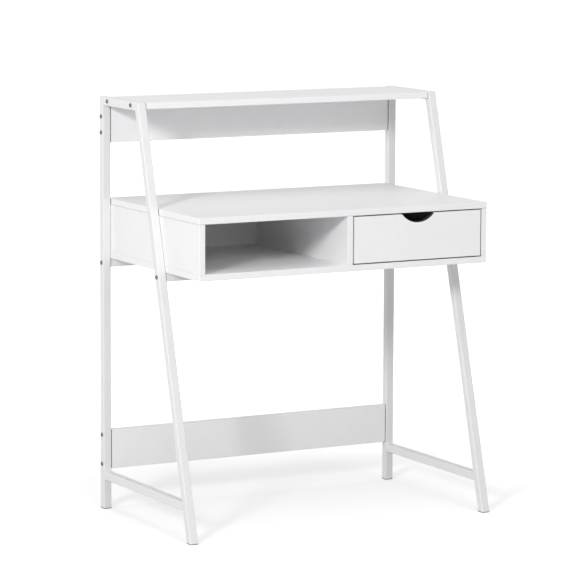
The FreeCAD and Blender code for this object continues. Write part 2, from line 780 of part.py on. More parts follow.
def drawerBack():
    """Back board that stands on the drawer bottom."""
    low = "(grooveRise + drawerPanel + 2*panelFit)"
    height = f"(drawerHeight - drawerBackDrop - {low})"
    body = boardBody("drawer_back", drawerInner, "drawerBoard", height)
    screws = [("(drawerBoard/2)", f"({z} - {low})") for z in ("backScrewLow", "backScrewHigh")]
    depth = "backScrewLength - drawerBoard + drillExtra"
    drill(body, "x", "0", screws, "backScrewRadius + drillPlay", depth, 1)
    drill(body, "x", drawerInner, screws, "backScrewRadius + drillPlay", depth, -1)
    pilots = [(f"({drawerInner}/2 + {x})", "(drawerBoard/2)") for x in bottomScrews]
    bite = "bottomScrewLength - drawerPanel + drillExtra"
    drill(body, "z", "0", pilots, "bottomScrewRadius + drillPlay", bite, 1)
    x = f"{openLeft} + runnerSpace + drawerBoard"
    node(body, x, f"{drawerRear} - drawerBoard", f"{drawerLow} + {low}")


def drawerBottom():
    """Thin panel in the grooves of the front and the sides."""
    width = f"({drawerInner} + 2*grooveDepth - 2*drillExtra)"
    depth = f"({drawerLength} + grooveDepth)"
    body = boardBody("drawer_bottom", width, depth, "drawerPanel")
    holes = [(f"({width}/2 + {x})", f"({depth} - drawerBoard/2)") for x in bottomScrews]
    drill(body, "z", "0", holes, "bottomScrewRadius + drillPlay", "drawerPanel", 1)
    x = f"{drawerMiddle} - {width}/2"
    node(body, x, f"{drawerFrontRear} - grooveDepth", f"{drawerLow} + grooveRise + panelFit")


# ---- roller runners

def away(side, distance):
    """A distance from the wall beside the drawer, as a local X."""
    return f"({distance})" if side == "left" else f"(-({distance}))"


def wallX(side):
    return openLeft if side == "left" else openRight


def cabinetRunner(side):
    """Steel channel on the wall: a track below, a guard above and a stop near the front."""
    body = newBody(f"{side}_cabinet_runner")
    sketch = newSketch(body, "y")
    reach = "(runnerSpace - sheetSteel - runnerClear)"
    points = [("0", "-sheetSteel"), (reach, "-sheetSteel"), (reach, "0"), ("sheetSteel", "0")]
    points += [("sheetSteel", channelHeight), (reach, channelHeight)]
    points += [(reach, f"({channelHeight} + sheetSteel)"), ("0", f"({channelHeight} + sheetSteel)")]
    addOutline(sketch, [(u if u == "0" else away(side, u), v) for u, v in points])
    pad(body, sketch, "y", runnerLength, -1)
    top = f"({channelHeight} + sheetSteel)"
    opening = newSketch(body, "z", top)
    near = away(side, "sheetSteel")
    far = away(side, f"{reach} + overcut")
    addRectangle(opening, near, f"(-{runnerLength} - overcut)", far, f"(runnerOpen - {runnerLength})")
    cut(body, opening, "z", "2*sheetSteel", -1)
    stop = newSketch(body, "z")
    rollerAtEnd = f"({drawerRear} - rollerInset - drawerTravel - {runnerRear})"
    edge = f"({rollerAtEnd} - rollerRadius)"
    addRectangle(stop, near, f"({edge} - sheetSteel)", away(side, reach), edge)
    pad(body, stop, "z", "stopHeight", 1)
    rows = ["runnerScrewFirst", "runnerScrewSecond", "runnerScrewThird"]
    wide = "2*sheetSteel"
    screws = [(f"({y} - {runnerLength})", drawerAxle) for y in rows]
    drill(body, "x", "0", screws, "runnerScrewRadius + drillPlay", wide, 0)
    axle = [(f"(rollerInset - {runnerLength})", cabinetAxle)]
    drill(body, "x", "0", axle, "pinRadius + pinPlay", wide, 0)
    node(body, wallX(side), runnerRear, track)


def drawerRunner(side):
    """Steel angle under the drawer side, with a flange that rides on the cabinet roller."""
    body = newBody(f"{side}_drawer_runner")
    sketch = newSketch(body, "y")
    web = "(runnerSpace - sheetSteel)"
    lip = "(runnerSpace + runnerLip)"
    tip = f"({web} + sheetSteel - flangeReach)"
    high = f"({flangeUnder} + sheetSteel)"
    points = [(web, "(-trackRise - sheetSteel)"), (lip, "(-trackRise - sheetSteel)")]
    points += [(lip, "-trackRise"), ("runnerSpace", "-trackRise"), ("runnerSpace", high)]
    points += [(tip, high), (tip, flangeUnder), (web, flangeUnder)]
    addOutline(sketch, [(away(side, u), v) for u, v in points])
    pad(body, sketch, "y", runnerLength, -1)
    axle = [("-rollerInset", drawerAxle)]
    middle = away(side, "runnerSpace - sheetSteel/2")
    drill(body, "x", middle, axle, "pinRadius + pinPlay", "2*sheetSteel", 0)
    rows = ["lipScrewFirst", "lipScrewSecond", "lipScrewThird"]
    under = away(side, "runnerSpace + drawerBoard/2")
    holes = [(under, f"({y} - {runnerLength})") for y in rows]
    drill(body, "z", "-trackRise", holes, "lipScrewRadius + drillPlay", "2*sheetSteel", 0)
    node(body, wallX(side), drawerRear, track)


def roller(label, way, x, y, z):
    """Nylon roller, dished between its rim and its hub on the face that shows."""
    body = newBody(label)
    half = "(rollerWidth/2)"
    bore = "(pinRadius + pinPlay)"
    turned(body, [(f"(-{half})", bore), (half, bore), (half, "rollerRadius"), (f"(-{half})", "rollerRadius")])
    dish = newSketch(body, "x", f"{way}*{half}")
    addPolygon(dish, "0", "0", "rollerRim", "roundSides")
    addPolygon(dish, "0", "0", "rollerHub", "roundSides")
    cut(body, dish, "x", "rollerDish", -way)
    node(body, x, y, z)


def rollers():
    for side, way in (("left", 1), ("right", -1)):
        x = f"{wallX(side)} + {away(side, 'rollerWallGap + rollerWidth/2')}"
        y = f"{runnerFront} + rollerInset"
        roller(f"{side}_cabinet_roller", way, x, y, f"{track} + {cabinetAxle}")
        y = f"{drawerRear} - rollerInset"
        roller(f"{side}_drawer_roller", -way, x, y, f"{track} + {drawerAxle}")


def rollerPins():
    """Rivets that carry the rollers: one pair in the walls, one pair in the drawer runners."""
    inner = "(rollerWallGap - hubPlay)"
    outer = "(rollerWallGap + rollerWidth + hubPlay)"
    steps = [("0", "sheetSteel", "pinRadius"), ("sheetSteel", inner, "pinCollar")]
    steps += [(inner, outer, "pinRadius"), (outer, f"({outer} + 2*pinHead)", "pinCollar")]
    wall = stepped("WallPin", steps)
    y = f"({runnerFront} + rollerInset)"
    z = f"({track} + {cabinetAxle})"
    copies("cabinet_roller_pins", wall, [(openLeft, y, z, "+x"), (openRight, y, z, "-x")])
    near = f"(runnerSpace - {outer})"
    far = f"(runnerSpace - {inner})"
    steps = [("0", "sheetSteel", "pinRadius"), ("sheetSteel", near, "pinCollar")]
    steps += [(near, far, "pinRadius"), (far, f"({far} + pinHead)", "pinCollar")]
    moving = stepped("DrawerPin", steps)
    y = f"({drawerRear} - rollerInset)"
    z = f"({track} + {drawerAxle})"
    atLeft = f"({openLeft} + runnerSpace)"
    atRight = f"({openRight} - runnerSpace)"
    copies("drawer_roller_pins", moving, [(atLeft, y, z, "-x"), (atRight, y, z, "+x")])


# ---- bolts, inserts, screws, dowels and cams

def frameBolts():
    """Button-head bolts through the tubes, with their inserts in the boards."""
    body = stepped("FrameBolt", [("-boltHead", "0", "boltHeadRadius")], "roundSides")
    outer = 0.001 - value("boltHead")
    bevelEdges(body, "boltHeadBevel", lambda box: box.XMax < outer)
    socket = newSketch(body, "x", "-boltHead")
    addPolygon(socket, "0", "0", "boltSocket", "boltSocketSides")
    cut(body, socket, "x", "boltSocketDepth", 1)
    addStep(body, "0", "boltLength", "boltRadius")
    steps = [("-boardEndGap", "0", "insertFlange"), ("0", "insertLength", "insertRadius")]
    insert = stepped("BoardInsert", steps)
    long = "boardEndGap + insertLength"
    drill(insert, "x", "-boardEndGap", [("0", "0")], "boltRadius + threadPlay", long, 1)
    spots = {
        "shelf": [(y, shelfMiddle) for y in shelfBolts],
        "upper_panel": [(rearRailY, z) for z in upperBolts],
        "lower_panel": [(rearRailY, z) for z in lowerBolts],
        "cross_rail": [(rearRailY, crossZ), (frontRailY, crossZ)],
    }
    for name, centres in spots.items():
        places = [("-frameWidth/2", y, z, "+x") for y, z in centres]
        places += [("frameWidth/2", y, z, "-x") for y, z in centres]
        copies(f"{name}_bolts", body, places)
        if name == "cross_rail":
            continue
        places = [(f"-{endBoard}/2", y, z, "+x") for y, z in centres]
        places += [(f"{endBoard}/2", y, z, "-x") for y, z in centres]
        copies(f"{name}_inserts", insert, places)


def screwBody(name, headRadius, headHeight, radius, length, sunk=False):
    """A plain screw along +X: its head is outside the start, or sunk level with it."""
    start = "0" if sunk else f"-{headHeight}"
    seat = headHeight if sunk else "0"
    return stepped(name, [(start, seat, headRadius), (seat, length, radius)])


def boxFixings():
    """Dowels, cams, cam pins and screws that hold the box together."""
    centres = [(x, f"({y} + {front})") for x in uprights for y in jointRows]
    dowelSpots = [(x, f"({y} + {front})") for x in uprights for y in dowelRows]
    backX = [f"({x} - {boxWidth}/2)" for x in backJoints]
    backY = f"({backRow} + {front})"
    top = "(deskHeight - board)"
    dowel = stepped("BoxDowel", [("0", "dowelLength", "dowelRadius")])
    low = f"({top} - dowelLength + dowelTop)"
    places = [(x, y, low, "+z") for x, y in dowelSpots + [(x, backY) for x in backX]]
    copies("box_dowels", dowel, places)
    pin = camPin("BoxCamPin", "camPinRadius", "camPinThread")
    copies("box_cam_pins", pin, [(x, y, top, "+z") for x, y in centres])
    cam = camBody("BoxCam", "camRadius", "camDepth", "board", "camPinRadius", "z")
    camZ = f"({top} - camReach)"
    faces = {0: ("board/2", "-x"), 1: ("board/2", "-x"), 2: ("-board/2", "+x")}
    places = []
    for number, x in enumerate(uprights):
        shift, way = faces[number]
        places += [(f"({x} + {shift})", f"({y} + {front})", camZ, way) for y in jointRows]
    copies("box_cams", cam, places)
    size = ("boxScrewHead", "boxScrewHeadHeight", "boxScrewRadius", "boxScrewLength")
    screw = screwBody("BoxScrew", *size, True)
    places = [(x, y, boxBottom, "+z") for x, y in centres + [(x, backY) for x in backX]]
    copies("box_screws", screw, places)


def camPin(name, shank, thread):
    """A pin along +X from the joint: thread ahead, shank behind."""
    return stepped(name, [("-camReach - camPinTail", "0", shank), ("0", "camPinBite", thread)])


def camBody(name, radius, depth, thickness, pinRadius, axis):
    """A cam along +X from its face, bored across for the pin."""
    body = stepped(name, [("0", depth, radius)], "roundSides")
    middle = f"({thickness}/2)"
    centre = (middle, "0")
    drill(body, axis, "0", [centre], f"{pinRadius} + drillPlay", f"2*{radius}", 0)
    return body


def crossRailScrews():
    length = "tubeSize + railScrewBite"
    body = screwBody("RailScrew", "railScrewHead", "railScrewHeadHeight", "railScrewRadius", length)
    places = []
    for y in (rearRailY, frontRailY):
        for x in railScrews:
            places.append((x, y, f"{boxBottom} - tubeSize", "+z"))
    copies("cross_rail_screws", body, places)


def drawerFixings():
    """Cams, pins, dowels and screws of the drawer."""
    left = f"({openLeft} + runnerSpace)"
    right = f"({openRight} - runnerSpace)"
    middles = [f"({left} + drawerBoard/2)", f"({right} - drawerBoard/2)"]
    camZ = f"({drawerLow} + drawerCamRise)"
    pin = camPin("DrawerCamPin", "smallPinRadius", "smallPinThread")
    copies("drawer_cam_pins", pin, [(x, drawerFrontRear, camZ, "-y") for x in middles])
    cam = camBody("DrawerCam", "smallCamRadius", "smallCamDepth", "drawerBoard", "smallPinRadius", "y")
    camY = f"({drawerFrontRear} + camReach)"
    places = [(f"({left} + drawerBoard)", camY, camZ, "-x"), (f"({right} - drawerBoard)", camY, camZ, "+x")]
    copies("drawer_cams", cam, places)
    dowel = stepped("DrawerDowel", [("0", "smallDowelLength", "smallDowelRadius")])
    y = f"({drawerFrontRear} - smallDowelTop)"
    places = [(x, y, f"({camZ} - drawerDowelDrop)", "+y") for x in middles]
    copies("drawer_dowels", dowel, places)
    radius = "backScrewRadius"
    screw = screwBody("BackScrew", "backScrewHead", "backScrewHeadHeight", radius, "backScrewLength", True)
    y = f"({drawerRear} - drawerBoard/2)"
    places = []
    for z in ("backScrewLow", "backScrewHigh"):
        places.append((left, y, f"({drawerLow} + {z})", "+x"))
        places.append((right, y, f"({drawerLow} + {z})", "-x"))
    copies("drawer_back_screws", screw, places)
    small = ("bottomScrewHead", "bottomScrewHeadHeight", "bottomScrewRadius", "bottomScrewLength")
    screw = screwBody("BottomScrew", *small)
    places = []
    for x in bottomScrews:
        places.append((f"({drawerMiddle} + {x})", y, f"({drawerLow} + grooveRise + panelFit)", "+z"))
    copies("drawer_bottom_screws", screw, places)


def runnerScrews():
    length = "sheetSteel + runnerScrewBite"
    head = ("runnerScrewHead", "runnerScrewHeadHeight", "runnerScrewRadius", length)
    screw = screwBody("WallScrew", *head)
    z = f"({track} + {drawerAxle})"
    places = []
    for y in ("runnerScrewFirst", "runnerScrewSecond", "runnerScrewThird"):
        row = f"({runnerFront} + {y})"
        places.append((f"({openLeft} + sheetSteel)", row, z, "-x"))
        places.append((f"({openRight} - sheetSteel)", row, z, "+x"))
    copies("cabinet_runner_screws", screw, places)
    length = "sheetSteel + lipScrewBite"
    screw = screwBody("LipScrew", "lipScrewHead", "lipScrewHeadHeight", "lipScrewRadius", length)
    z = f"({drawerLow} - sheetSteel)"
    reach = "(runnerSpace + drawerBoard/2)"
    places = []
    for y in ("lipScrewFirst", "lipScrewSecond", "lipScrewThird"):
        row = f"({drawerRear} - {runnerLength} + {y})"
        places.append((f"({openLeft} + {reach})", row, z, "+z"))
        places.append((f"({openRight} - {reach})", row, z, "+z"))
    copies("drawer_runner_screws", screw, places)


# ---- the whole desk

for side in sides:
    rearPost(side)
    frontLeg(side)
    topRail(side)
    footRail(side)
    rearFoot(side)
    frontFoot(side)
crossRail("rear_cross_rail", rearRailY)
crossRail("front_cross_rail", frontRailY)
railEndPlates()
topShelf()
upperRows = ["upperBoltLow", "(upperBoltLow + upperBoltPitch)"]
lowerRows = ["lowerBoltInset", "(lowerPanelHeight - lowerBoltInset)"]
backPanel("upper_back_panel", "upperPanelHeight", panelBottom, upperRows)
backPanel("lower_back_panel", "lowerPanelHeight", "lowerPanelRise", lowerRows)
deskTop()
boxFloor()
upright("box_left_side", "deskDepth", f"-{boxWidth}/2", "right")
divider = upright("box_divider", f"({backFace} - {front})", dividerLeft, "right")
runnerPilots(divider, "board", -1)
rightSide = upright("box_right_side", "deskDepth", openRight, "left")
runnerPilots(rightSide, "0", 1)
boxBack()
drawerFront()
for side in sides:
    drawerSide(side)
    cabinetRunner(side)
    drawerRunner(side)
drawerBack()
drawerBottom()
rollers()
rollerPins()
frameBolts()
crossRailScrews()
boxFixings()
drawerFixings()
runnerScrews()
doc.recompute()

# ---- checks and STEP files

for item in doc.Objects:
    if "Invalid" in item.State or "Error" in item.State:
        raise RuntimeError(f"{item.Label} failed: {item.State}")
    if item.TypeId == "PartDesign::Pocket":
        if item.Shape.Volume > item.BaseFeature.Shape.Volume - 0.01:
            raise RuntimeError(f"{item.Label} of {item.getParentGeoFeatureGroup().Label} cuts nothing")
for item in nodes:
    if item.Shape.isNull() or not item.Shape.isValid():
        raise RuntimeError(f"{item.Label} has no valid shape")

os.makedirs("parts", exist_ok=True)
for item in nodes:
    item.Shape.exportStep(f"parts/{item.Label}.step")
print(len(nodes), "sub-parts written")
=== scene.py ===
import json
import math

import bmesh
import bpy
from mathutils import Matrix, Vector


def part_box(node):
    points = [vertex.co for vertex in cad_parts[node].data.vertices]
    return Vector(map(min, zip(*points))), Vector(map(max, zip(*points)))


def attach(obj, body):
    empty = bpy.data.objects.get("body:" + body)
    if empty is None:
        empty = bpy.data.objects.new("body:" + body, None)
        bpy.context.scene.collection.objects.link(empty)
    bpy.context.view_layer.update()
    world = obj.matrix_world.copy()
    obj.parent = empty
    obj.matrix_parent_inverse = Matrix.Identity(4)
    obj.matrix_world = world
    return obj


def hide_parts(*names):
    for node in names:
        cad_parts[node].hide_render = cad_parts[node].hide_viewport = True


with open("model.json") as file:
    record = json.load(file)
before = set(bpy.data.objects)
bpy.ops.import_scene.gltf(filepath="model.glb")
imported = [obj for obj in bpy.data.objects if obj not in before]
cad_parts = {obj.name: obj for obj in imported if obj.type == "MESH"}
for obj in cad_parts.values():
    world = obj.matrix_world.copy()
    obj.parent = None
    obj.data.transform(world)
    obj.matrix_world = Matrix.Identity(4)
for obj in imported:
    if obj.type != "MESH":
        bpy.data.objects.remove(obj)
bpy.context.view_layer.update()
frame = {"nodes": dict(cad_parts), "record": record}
nodes = frame["nodes"]
mm = 0.001
noiseSpan = {"From Min": 0.3, "From Max": 0.7}     # between which most values of a noise lie
scene = bpy.context.scene
scene.view_settings.view_transform = "Standard"


# small helpers

def toLinear(colour):
    channels = [int(colour[i:i + 2], 16) / 255 for i in (1, 3, 5)]
    linear = [c / 12.92 if c <= 0.04045 else ((c + 0.055) / 1.055) ** 2.4 for c in channels]
    return (*linear, 1)


def addNode(tree, kind, settings=None, inputs=None):
    # a node given as an input stands for its first output
    node = tree.nodes.new(kind)
    for name, setting in (settings or {}).items():
        setattr(node, name, setting)
    for name, given in (inputs or {}).items():
        if isinstance(given, bpy.types.Node):
            given = given.outputs[0]
        if isinstance(given, bpy.types.NodeSocket):
            tree.links.new(given, node.inputs[name])
        else:
            node.inputs[name].default_value = given
    return node


def newMaterial(name):
    material = bpy.data.materials.new(name)
    material.use_nodes = True
    material.node_tree.nodes.clear()
    return material, material.node_tree


def newObject(name, data):
    thing = bpy.data.objects.new(name, data)
    scene.collection.objects.link(thing)
    return thing


# camera

view = {
    "place": (-3.7022, -6.7359, 1.5999),
    "azimuth": -28.651,      # degrees, 0 looks along +Y
    "pitch": 7.863,          # degrees down
    "roll": 0.256,
    "lens": 203.67,          # mm
    "sensor": 36,            # mm
    "farClip": 200,          # metres
}


def addCamera():
    turn = Matrix.Rotation(math.radians(view["azimuth"]), 4, "Z")
    tilt = Matrix.Rotation(math.radians(90 - view["pitch"]), 4, "X")
    roll = Matrix.Rotation(math.radians(view["roll"]), 4, "Z")
    data = bpy.data.cameras.new("deskCamera")
    data.lens = view["lens"]
    data.sensor_width = view["sensor"]
    data.clip_end = view["farClip"]
    camera = newObject("deskCamera", data)
    camera.matrix_world = Matrix.Translation(view["place"]) @ turn @ tilt @ roll
    scene.camera = camera


addCamera()
print("camera ready")


# light and floor

studio = {
    "ambient": 0.252,        # even light from all round
    "backdrop": "#ffffff",
    "lamps": {               # large and far off, so that their light is even over the desk
        "keyLamp": {"place": (-5.9, -4.8, 3.4), "size": 1.4, "power": 340},
        "sideLamp": {"place": (-7.6, 0.5, 2.6), "size": 3.8, "power": 60},
        "frontLamp": {"place": (0.6, -8.0, 3.2), "size": 4.0, "power": 68},
        "frontTopLamp": {"place": (-0.6, -3.0, 6.2), "size": 3.8, "power": 95},
        "topLamp": {"place": (-0.2, 0.2, 6.8), "size": 3.8, "power": 44},
        "rearLamp": {"place": (-1.7, 8.5, 1.5), "size": 4.0, "power": 85},
    },
    "aim": (0, 0, 0.5),
}
floorLook = {
    "size": 160,             # metres
    "paint": "#dcdcdc",      # what the desk gets light from
    "shade": "#c4c4c4",      # how much of light and shadow the eye sees on it
    "lift": 0.66,            # white added to that near the desk
    "roof": 1.0,             # metres within which things over the floor dim its glow: a painted shadow
    "paintedShadowShare": 0.45,       # how much of the lift the painted shadow takes off at most
    "roofSamples": 16,
    "nearEdge": 0.55,        # metres from the middle, where the lift starts to grow
    "farEdge": 2.0,          # metres from the middle, where the floor is the backdrop's white
}


def addLamps():
    for name, lamp in studio["lamps"].items():
        data = bpy.data.lights.new(name, "AREA")
        data.shape = "DISK"
        data.size = lamp["size"]
        data.energy = lamp["power"]
        thing = newObject(name, data)
        away = Vector(lamp["place"]) - Vector(studio["aim"])
        turn = away.to_track_quat("Z", "Y").to_matrix().to_4x4()
        thing.matrix_world = Matrix.Translation(lamp["place"]) @ turn


def seenDirectly(tree):
    # 1 for rays that show the backdrop: from the camera, in gloss or through glass
    path = addNode(tree, "ShaderNodeLightPath").outputs
    gloss = addNode(tree, "ShaderNodeMath", {"operation": "MAXIMUM"},
                    {0: path["Is Camera Ray"], 1: path["Is Glossy Ray"]})
    return addNode(tree, "ShaderNodeMath", {"operation": "MAXIMUM"},
                   {0: gloss, 1: path["Is Transmission Ray"]})


def addWorld():
    world = bpy.data.worlds.new("studio")
    world.use_nodes = True
    tree = world.node_tree
    tree.nodes.clear()
    ambient = addNode(tree, "ShaderNodeBackground", {}, {
        "Color": (1, 1, 1, 1), "Strength": studio["ambient"]})
    seen = addNode(tree, "ShaderNodeBackground", {}, {
        "Color": toLinear(studio["backdrop"]), "Strength": 1.0})
    mixed = addNode(tree, "ShaderNodeMixShader", {}, {"Fac": seenDirectly(tree), 1: ambient, 2: seen})
    addNode(tree, "ShaderNodeOutputWorld", {}, {"Surface": mixed})
    scene.world = world


def floorPaint():
    # matt emulsion on a studio floor, rolled: no gloss, and a soft shadow stays on it
    look = floorLook
    material, tree = newMaterial("studioFloorPaint")
    point = addNode(tree, "ShaderNodeTexCoord").outputs["Object"]
    reach = addNode(tree, "ShaderNodeVectorMath", {"operation": "LENGTH"}, {0: point}).outputs["Value"]
    lift = addNode(tree, "ShaderNodeMapRange", {"interpolation_type": "SMOOTHSTEP"}, {
        "Value": reach, "From Min": look["nearEdge"], "From Max": look["farEdge"],
        "To Min": look["lift"], "To Max": 1.0})
    paint = addNode(tree, "ShaderNodeBsdfDiffuse", {}, {"Color": toLinear(look["paint"])})
    shade = addNode(tree, "ShaderNodeBsdfDiffuse", {}, {"Color": toLinear(look["shade"])})
    # painted shadow: the glow is dimmed by ambient occlusion where the desk stands over the floor
    roof = addNode(tree, "ShaderNodeAmbientOcclusion", {"samples": look["roofSamples"]},
                   {"Distance": look["roof"]}).outputs["AO"]
    left = addNode(tree, "ShaderNodeMapRange", {}, {
        "Value": roof, "To Min": 1 - look["paintedShadowShare"], "To Max": 1.0})
    strength = addNode(tree, "ShaderNodeMath", {"operation": "MULTIPLY"}, {0: lift, 1: left})
    glow = addNode(tree, "ShaderNodeEmission", {}, {
        "Color": toLinear(studio["backdrop"]), "Strength": strength})
    shown = addNode(tree, "ShaderNodeAddShader", {}, {0: shade, 1: glow})
    mixed = addNode(tree, "ShaderNodeMixShader", {}, {"Fac": seenDirectly(tree), 1: paint, 2: shown})
    addNode(tree, "ShaderNodeOutputMaterial", {}, {"Surface": mixed})
    return material


def addFloor():
    half = floorLook["size"] / 2
    mesh = bpy.data.meshes.new("floor")
    corners = [(-half, -half, 0), (half, -half, 0), (half, half, 0), (-half, half, 0)]
    mesh.from_pydata(corners, [], [(0, 1, 2, 3)])
    mesh.materials.append(floorPaint())
    newObject("floor", mesh)


addLamps()
addWorld()
addFloor()
print("light and floor ready")


# painted shade in the narrow gaps between pieces: colour darkened where gaps are narrow, and grey strips round
# the drawer's front

gapShadeLook = {
    "nodes": ["desk_top", "upper_back_panel", "lower_back_panel", "front_cross_rail", "rear_cross_rail"],
    "colour": "#2c2c2a",
    "reach": 5 * mm,
    "samples": 8,
    "open": (0.3, 0.75),     # how open a spot is where its painted shade is full, and where it has none
}
gapShadeStrips = {                 # painted shade: grey strips on the fixed boards that show in the gap round the drawer's front
    "around": "drawer_front",
    "reach": 2.75 * mm,      # the gap, and a hair of the boards' front edges
    "colour": "#8a8a87",
    "depth": {"box_right_side": 4.5 * mm, "box_divider": 6 * mm, "box_bottom": 14 * mm},
}


def paintGapShade(tree, colour):
    # painted shade: the colour turns dark where ambient occlusion finds the spot shut in within a few mm
    look = gapShadeLook
    nook = addNode(tree, "ShaderNodeAmbientOcclusion", {"samples": look["samples"]},
                   {"Distance": look["reach"]})
    clear = addNode(tree, "ShaderNodeMapRange", {}, {
        "Value": nook.outputs["AO"], "From Min": look["open"][0], "From Max": look["open"][1]})
    return addNode(tree, "ShaderNodeMix", {"data_type": "RGBA"},
                   {0: clear, 6: toLinear(look["colour"]), 7: colour}).outputs[2]


def paintGapShadeStrip(tree, point, depth, colour):
    # a block round the drawer's front, as deep as the strip: what lies in it gets the painted shade colour
    low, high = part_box(gapShadeStrips["around"])
    half = [(high[i] - low[i]) / 2 + gapShadeStrips["reach"] for i in range(3)]
    half[1] = depth
    centre = [(low[0] + high[0]) / 2, low[1], (low[2] + high[2]) / 2]
    around = addNode(tree, "ShaderNodeMapping", {}, {
        "Vector": point, "Scale": [1 / h for h in half],
        "Location": [-c / h for c, h in zip(centre, half)]})
    apart = addNode(tree, "ShaderNodeVectorMath", {"operation": "ABSOLUTE"}, {0: around})
    split = addNode(tree, "ShaderNodeSeparateXYZ", {}, {0: apart}).outputs
    across = addNode(tree, "ShaderNodeMath", {"operation": "MAXIMUM"}, {0: split["X"], 1: split["Z"]})
    farthest = addNode(tree, "ShaderNodeMath", {"operation": "MAXIMUM"}, {0: across, 1: split["Y"]})
    inGap = addNode(tree, "ShaderNodeMath", {"operation": "LESS_THAN"}, {0: farthest, 1: 1})
    return addNode(tree, "ShaderNodeMix", {"data_type": "RGBA"},
                   {0: inGap, 6: colour, 7: toLinear(gapShadeStrips["colour"])}).outputs[2]


# how each finish ends

def addSurface(tree, look, colour, rough, bumps, shading):
    # fine relief, the shader and the output
    relief = addNode(tree, "ShaderNodeBump", {}, {
        "Height": bumps, "Distance": look["relief"], "Strength": look["reliefStrength"]})
    shader = addNode(tree, "ShaderNodeBsdfPrincipled", {}, {
        "Base Color": colour, "Roughness": rough, "Normal": relief, **shading})
    addNode(tree, "ShaderNodeOutputMaterial", {}, {"Surface": shader})


# boards

boardLook = {
    "face": "#f4f4f5",
    "faceDark": "#f0f0f1",
    "band": "#f1f1f2",
    "seam": "#d4d4d3",
    "roughness": (0.4, 0.48),
    "bandRoughness": 0.34,
    "mottle": 22 * mm,       # faint clouds of the printed sheet
    "pearl": 0.9 * mm,       # press-plate grain, drawn about twice as coarse as it is, to show at all
    "relief": 0.02 * mm,
    "reliefStrength": 0.5,
    "bandWidth": 0.8 * mm,   # what a face shows of the edge band
    "seamWidth": 0.2 * mm,
    "ior": 1.5,
}
pullLook = {                 # the finger pull, an arc cut out of the top edge
    "node": "drawer_front",
    "radius": 56 * mm,
    "depth": 21 * mm,
    "paint": "#3d3d3b",
    "overlap": 0.2 * mm,     # onto the face, past the arris
}


def paintPull(tree, point, colour):
    # the cut round the finger pull, and a hair of the face past its arris, are coloured dark grey
    look = pullLook
    low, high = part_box(look["node"])
    centre = ((low[0] + high[0]) / 2, 0, high[2] - look["depth"] + look["radius"])
    around = addNode(tree, "ShaderNodeMapping", {}, {
        "Vector": point, "Location": [-c for c in centre], "Scale": (1, 0, 1)})
    apart = addNode(tree, "ShaderNodeVectorMath", {"operation": "LENGTH"}, {0: around}).outputs["Value"]
    onCut = addNode(tree, "ShaderNodeMath", {"operation": "LESS_THAN"},
                    {0: apart, 1: look["radius"] + look["overlap"]})
    return addNode(tree, "ShaderNodeMix", {"data_type": "RGBA"},
                   {0: onCut, 6: colour, 7: toLinear(look["paint"])}).outputs[2]


def melamineBoard(node):
    # melamine-faced particle board: a hot-pressed satin sheet with a fine pearl grain on the faces,
    # a smoother extruded ABS band on the edges and a hairline of glue where the two meet
    look = boardLook
    low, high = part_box(node)
    material, tree = newMaterial("melamine." + node)
    point = addNode(tree, "ShaderNodeTexCoord").outputs["Object"]
    spans = [high[i] - low[i] for i in range(3)]
    flat = [i for i in range(3) if spans[i] > min(spans)]
    middle = [(low[i] + high[i]) / 2 for i in range(3)]
    centred = addNode(tree, "ShaderNodeMapping", {}, {"Vector": point, "Location": [-m for m in middle]})
    apart = addNode(tree, "ShaderNodeVectorMath", {"operation": "ABSOLUTE"}, {0: centred})
    inwards = addNode(tree, "ShaderNodeVectorMath", {"operation": "SUBTRACT"},
                      {0: [span / 2 for span in spans], 1: apart})
    split = addNode(tree, "ShaderNodeSeparateXYZ", {}, {0: inwards}).outputs
    inset = addNode(tree, "ShaderNodeMath", {"operation": "MINIMUM"},
                    {0: split[flat[0]], 1: split[flat[1]]})
    onBand = addNode(tree, "ShaderNodeMath", {"operation": "LESS_THAN"}, {0: inset, 1: look["bandWidth"]})
    onSeam = addNode(tree, "ShaderNodeMath", {"operation": "COMPARE"},
                     {0: inset, 1: look["bandWidth"], 2: look["seamWidth"] / 2})
    cloud = addNode(tree, "ShaderNodeTexNoise", {}, {
        "Vector": point, "Scale": 1 / look["mottle"], "Detail": 3})
    face = addNode(tree, "ShaderNodeMix", {"data_type": "RGBA"},
                   {0: cloud, 6: toLinear(look["faceDark"]), 7: toLinear(look["face"])})
    banded = addNode(tree, "ShaderNodeMix", {"data_type": "RGBA"},
                     {0: onBand, 6: face.outputs[2], 7: toLinear(look["band"])})
    lined = addNode(tree, "ShaderNodeMix", {"data_type": "RGBA"},
                    {0: onSeam, 6: banded.outputs[2], 7: toLinear(look["seam"])})
    colour = lined.outputs[2]
    if node == pullLook["node"]:
        colour = paintPull(tree, point, colour)
    # painted shade: narrow gaps darkened, and grey strips where the board shows beside the drawer
    if node in gapShadeLook["nodes"]:
        colour = paintGapShade(tree, colour)
    if node in gapShadeStrips["depth"]:
        colour = paintGapShadeStrip(tree, point, gapShadeStrips["depth"][node], colour)
    sheen = addNode(tree, "ShaderNodeMapRange", {}, {
        "Value": cloud, **noiseSpan, "To Min": look["roughness"][0], "To Max": look["roughness"][1]})
    rough = addNode(tree, "ShaderNodeMix", {}, {0: onBand, 2: sheen, 3: look["bandRoughness"]})
    pearl = addNode(tree, "ShaderNodeTexNoise", {}, {
        "Vector": point, "Scale": 1 / look["pearl"], "Detail": 1})
    addSurface(tree, look, colour, rough, pearl, {"IOR": look["ior"]})
    return material


hardboardLook = {
    "lacquer": "#efefec",
    "fleck": "#dcdad3",
    "fibre": 1.4 * mm,       # pressed wood fibre, drawn coarser than its 0.3 mm
    "fibreStretch": (1, 0.35, 1),
    "fibreRoughness": 0.65,
    "fleckSpan": (0.58, 0.72),   # where a fibre begins to show as a fleck, and where it is one
    "roughness": (0.4, 0.55),
    "relief": 0.03 * mm,
    "reliefStrength": 0.6,
    "ior": 1.5,
}


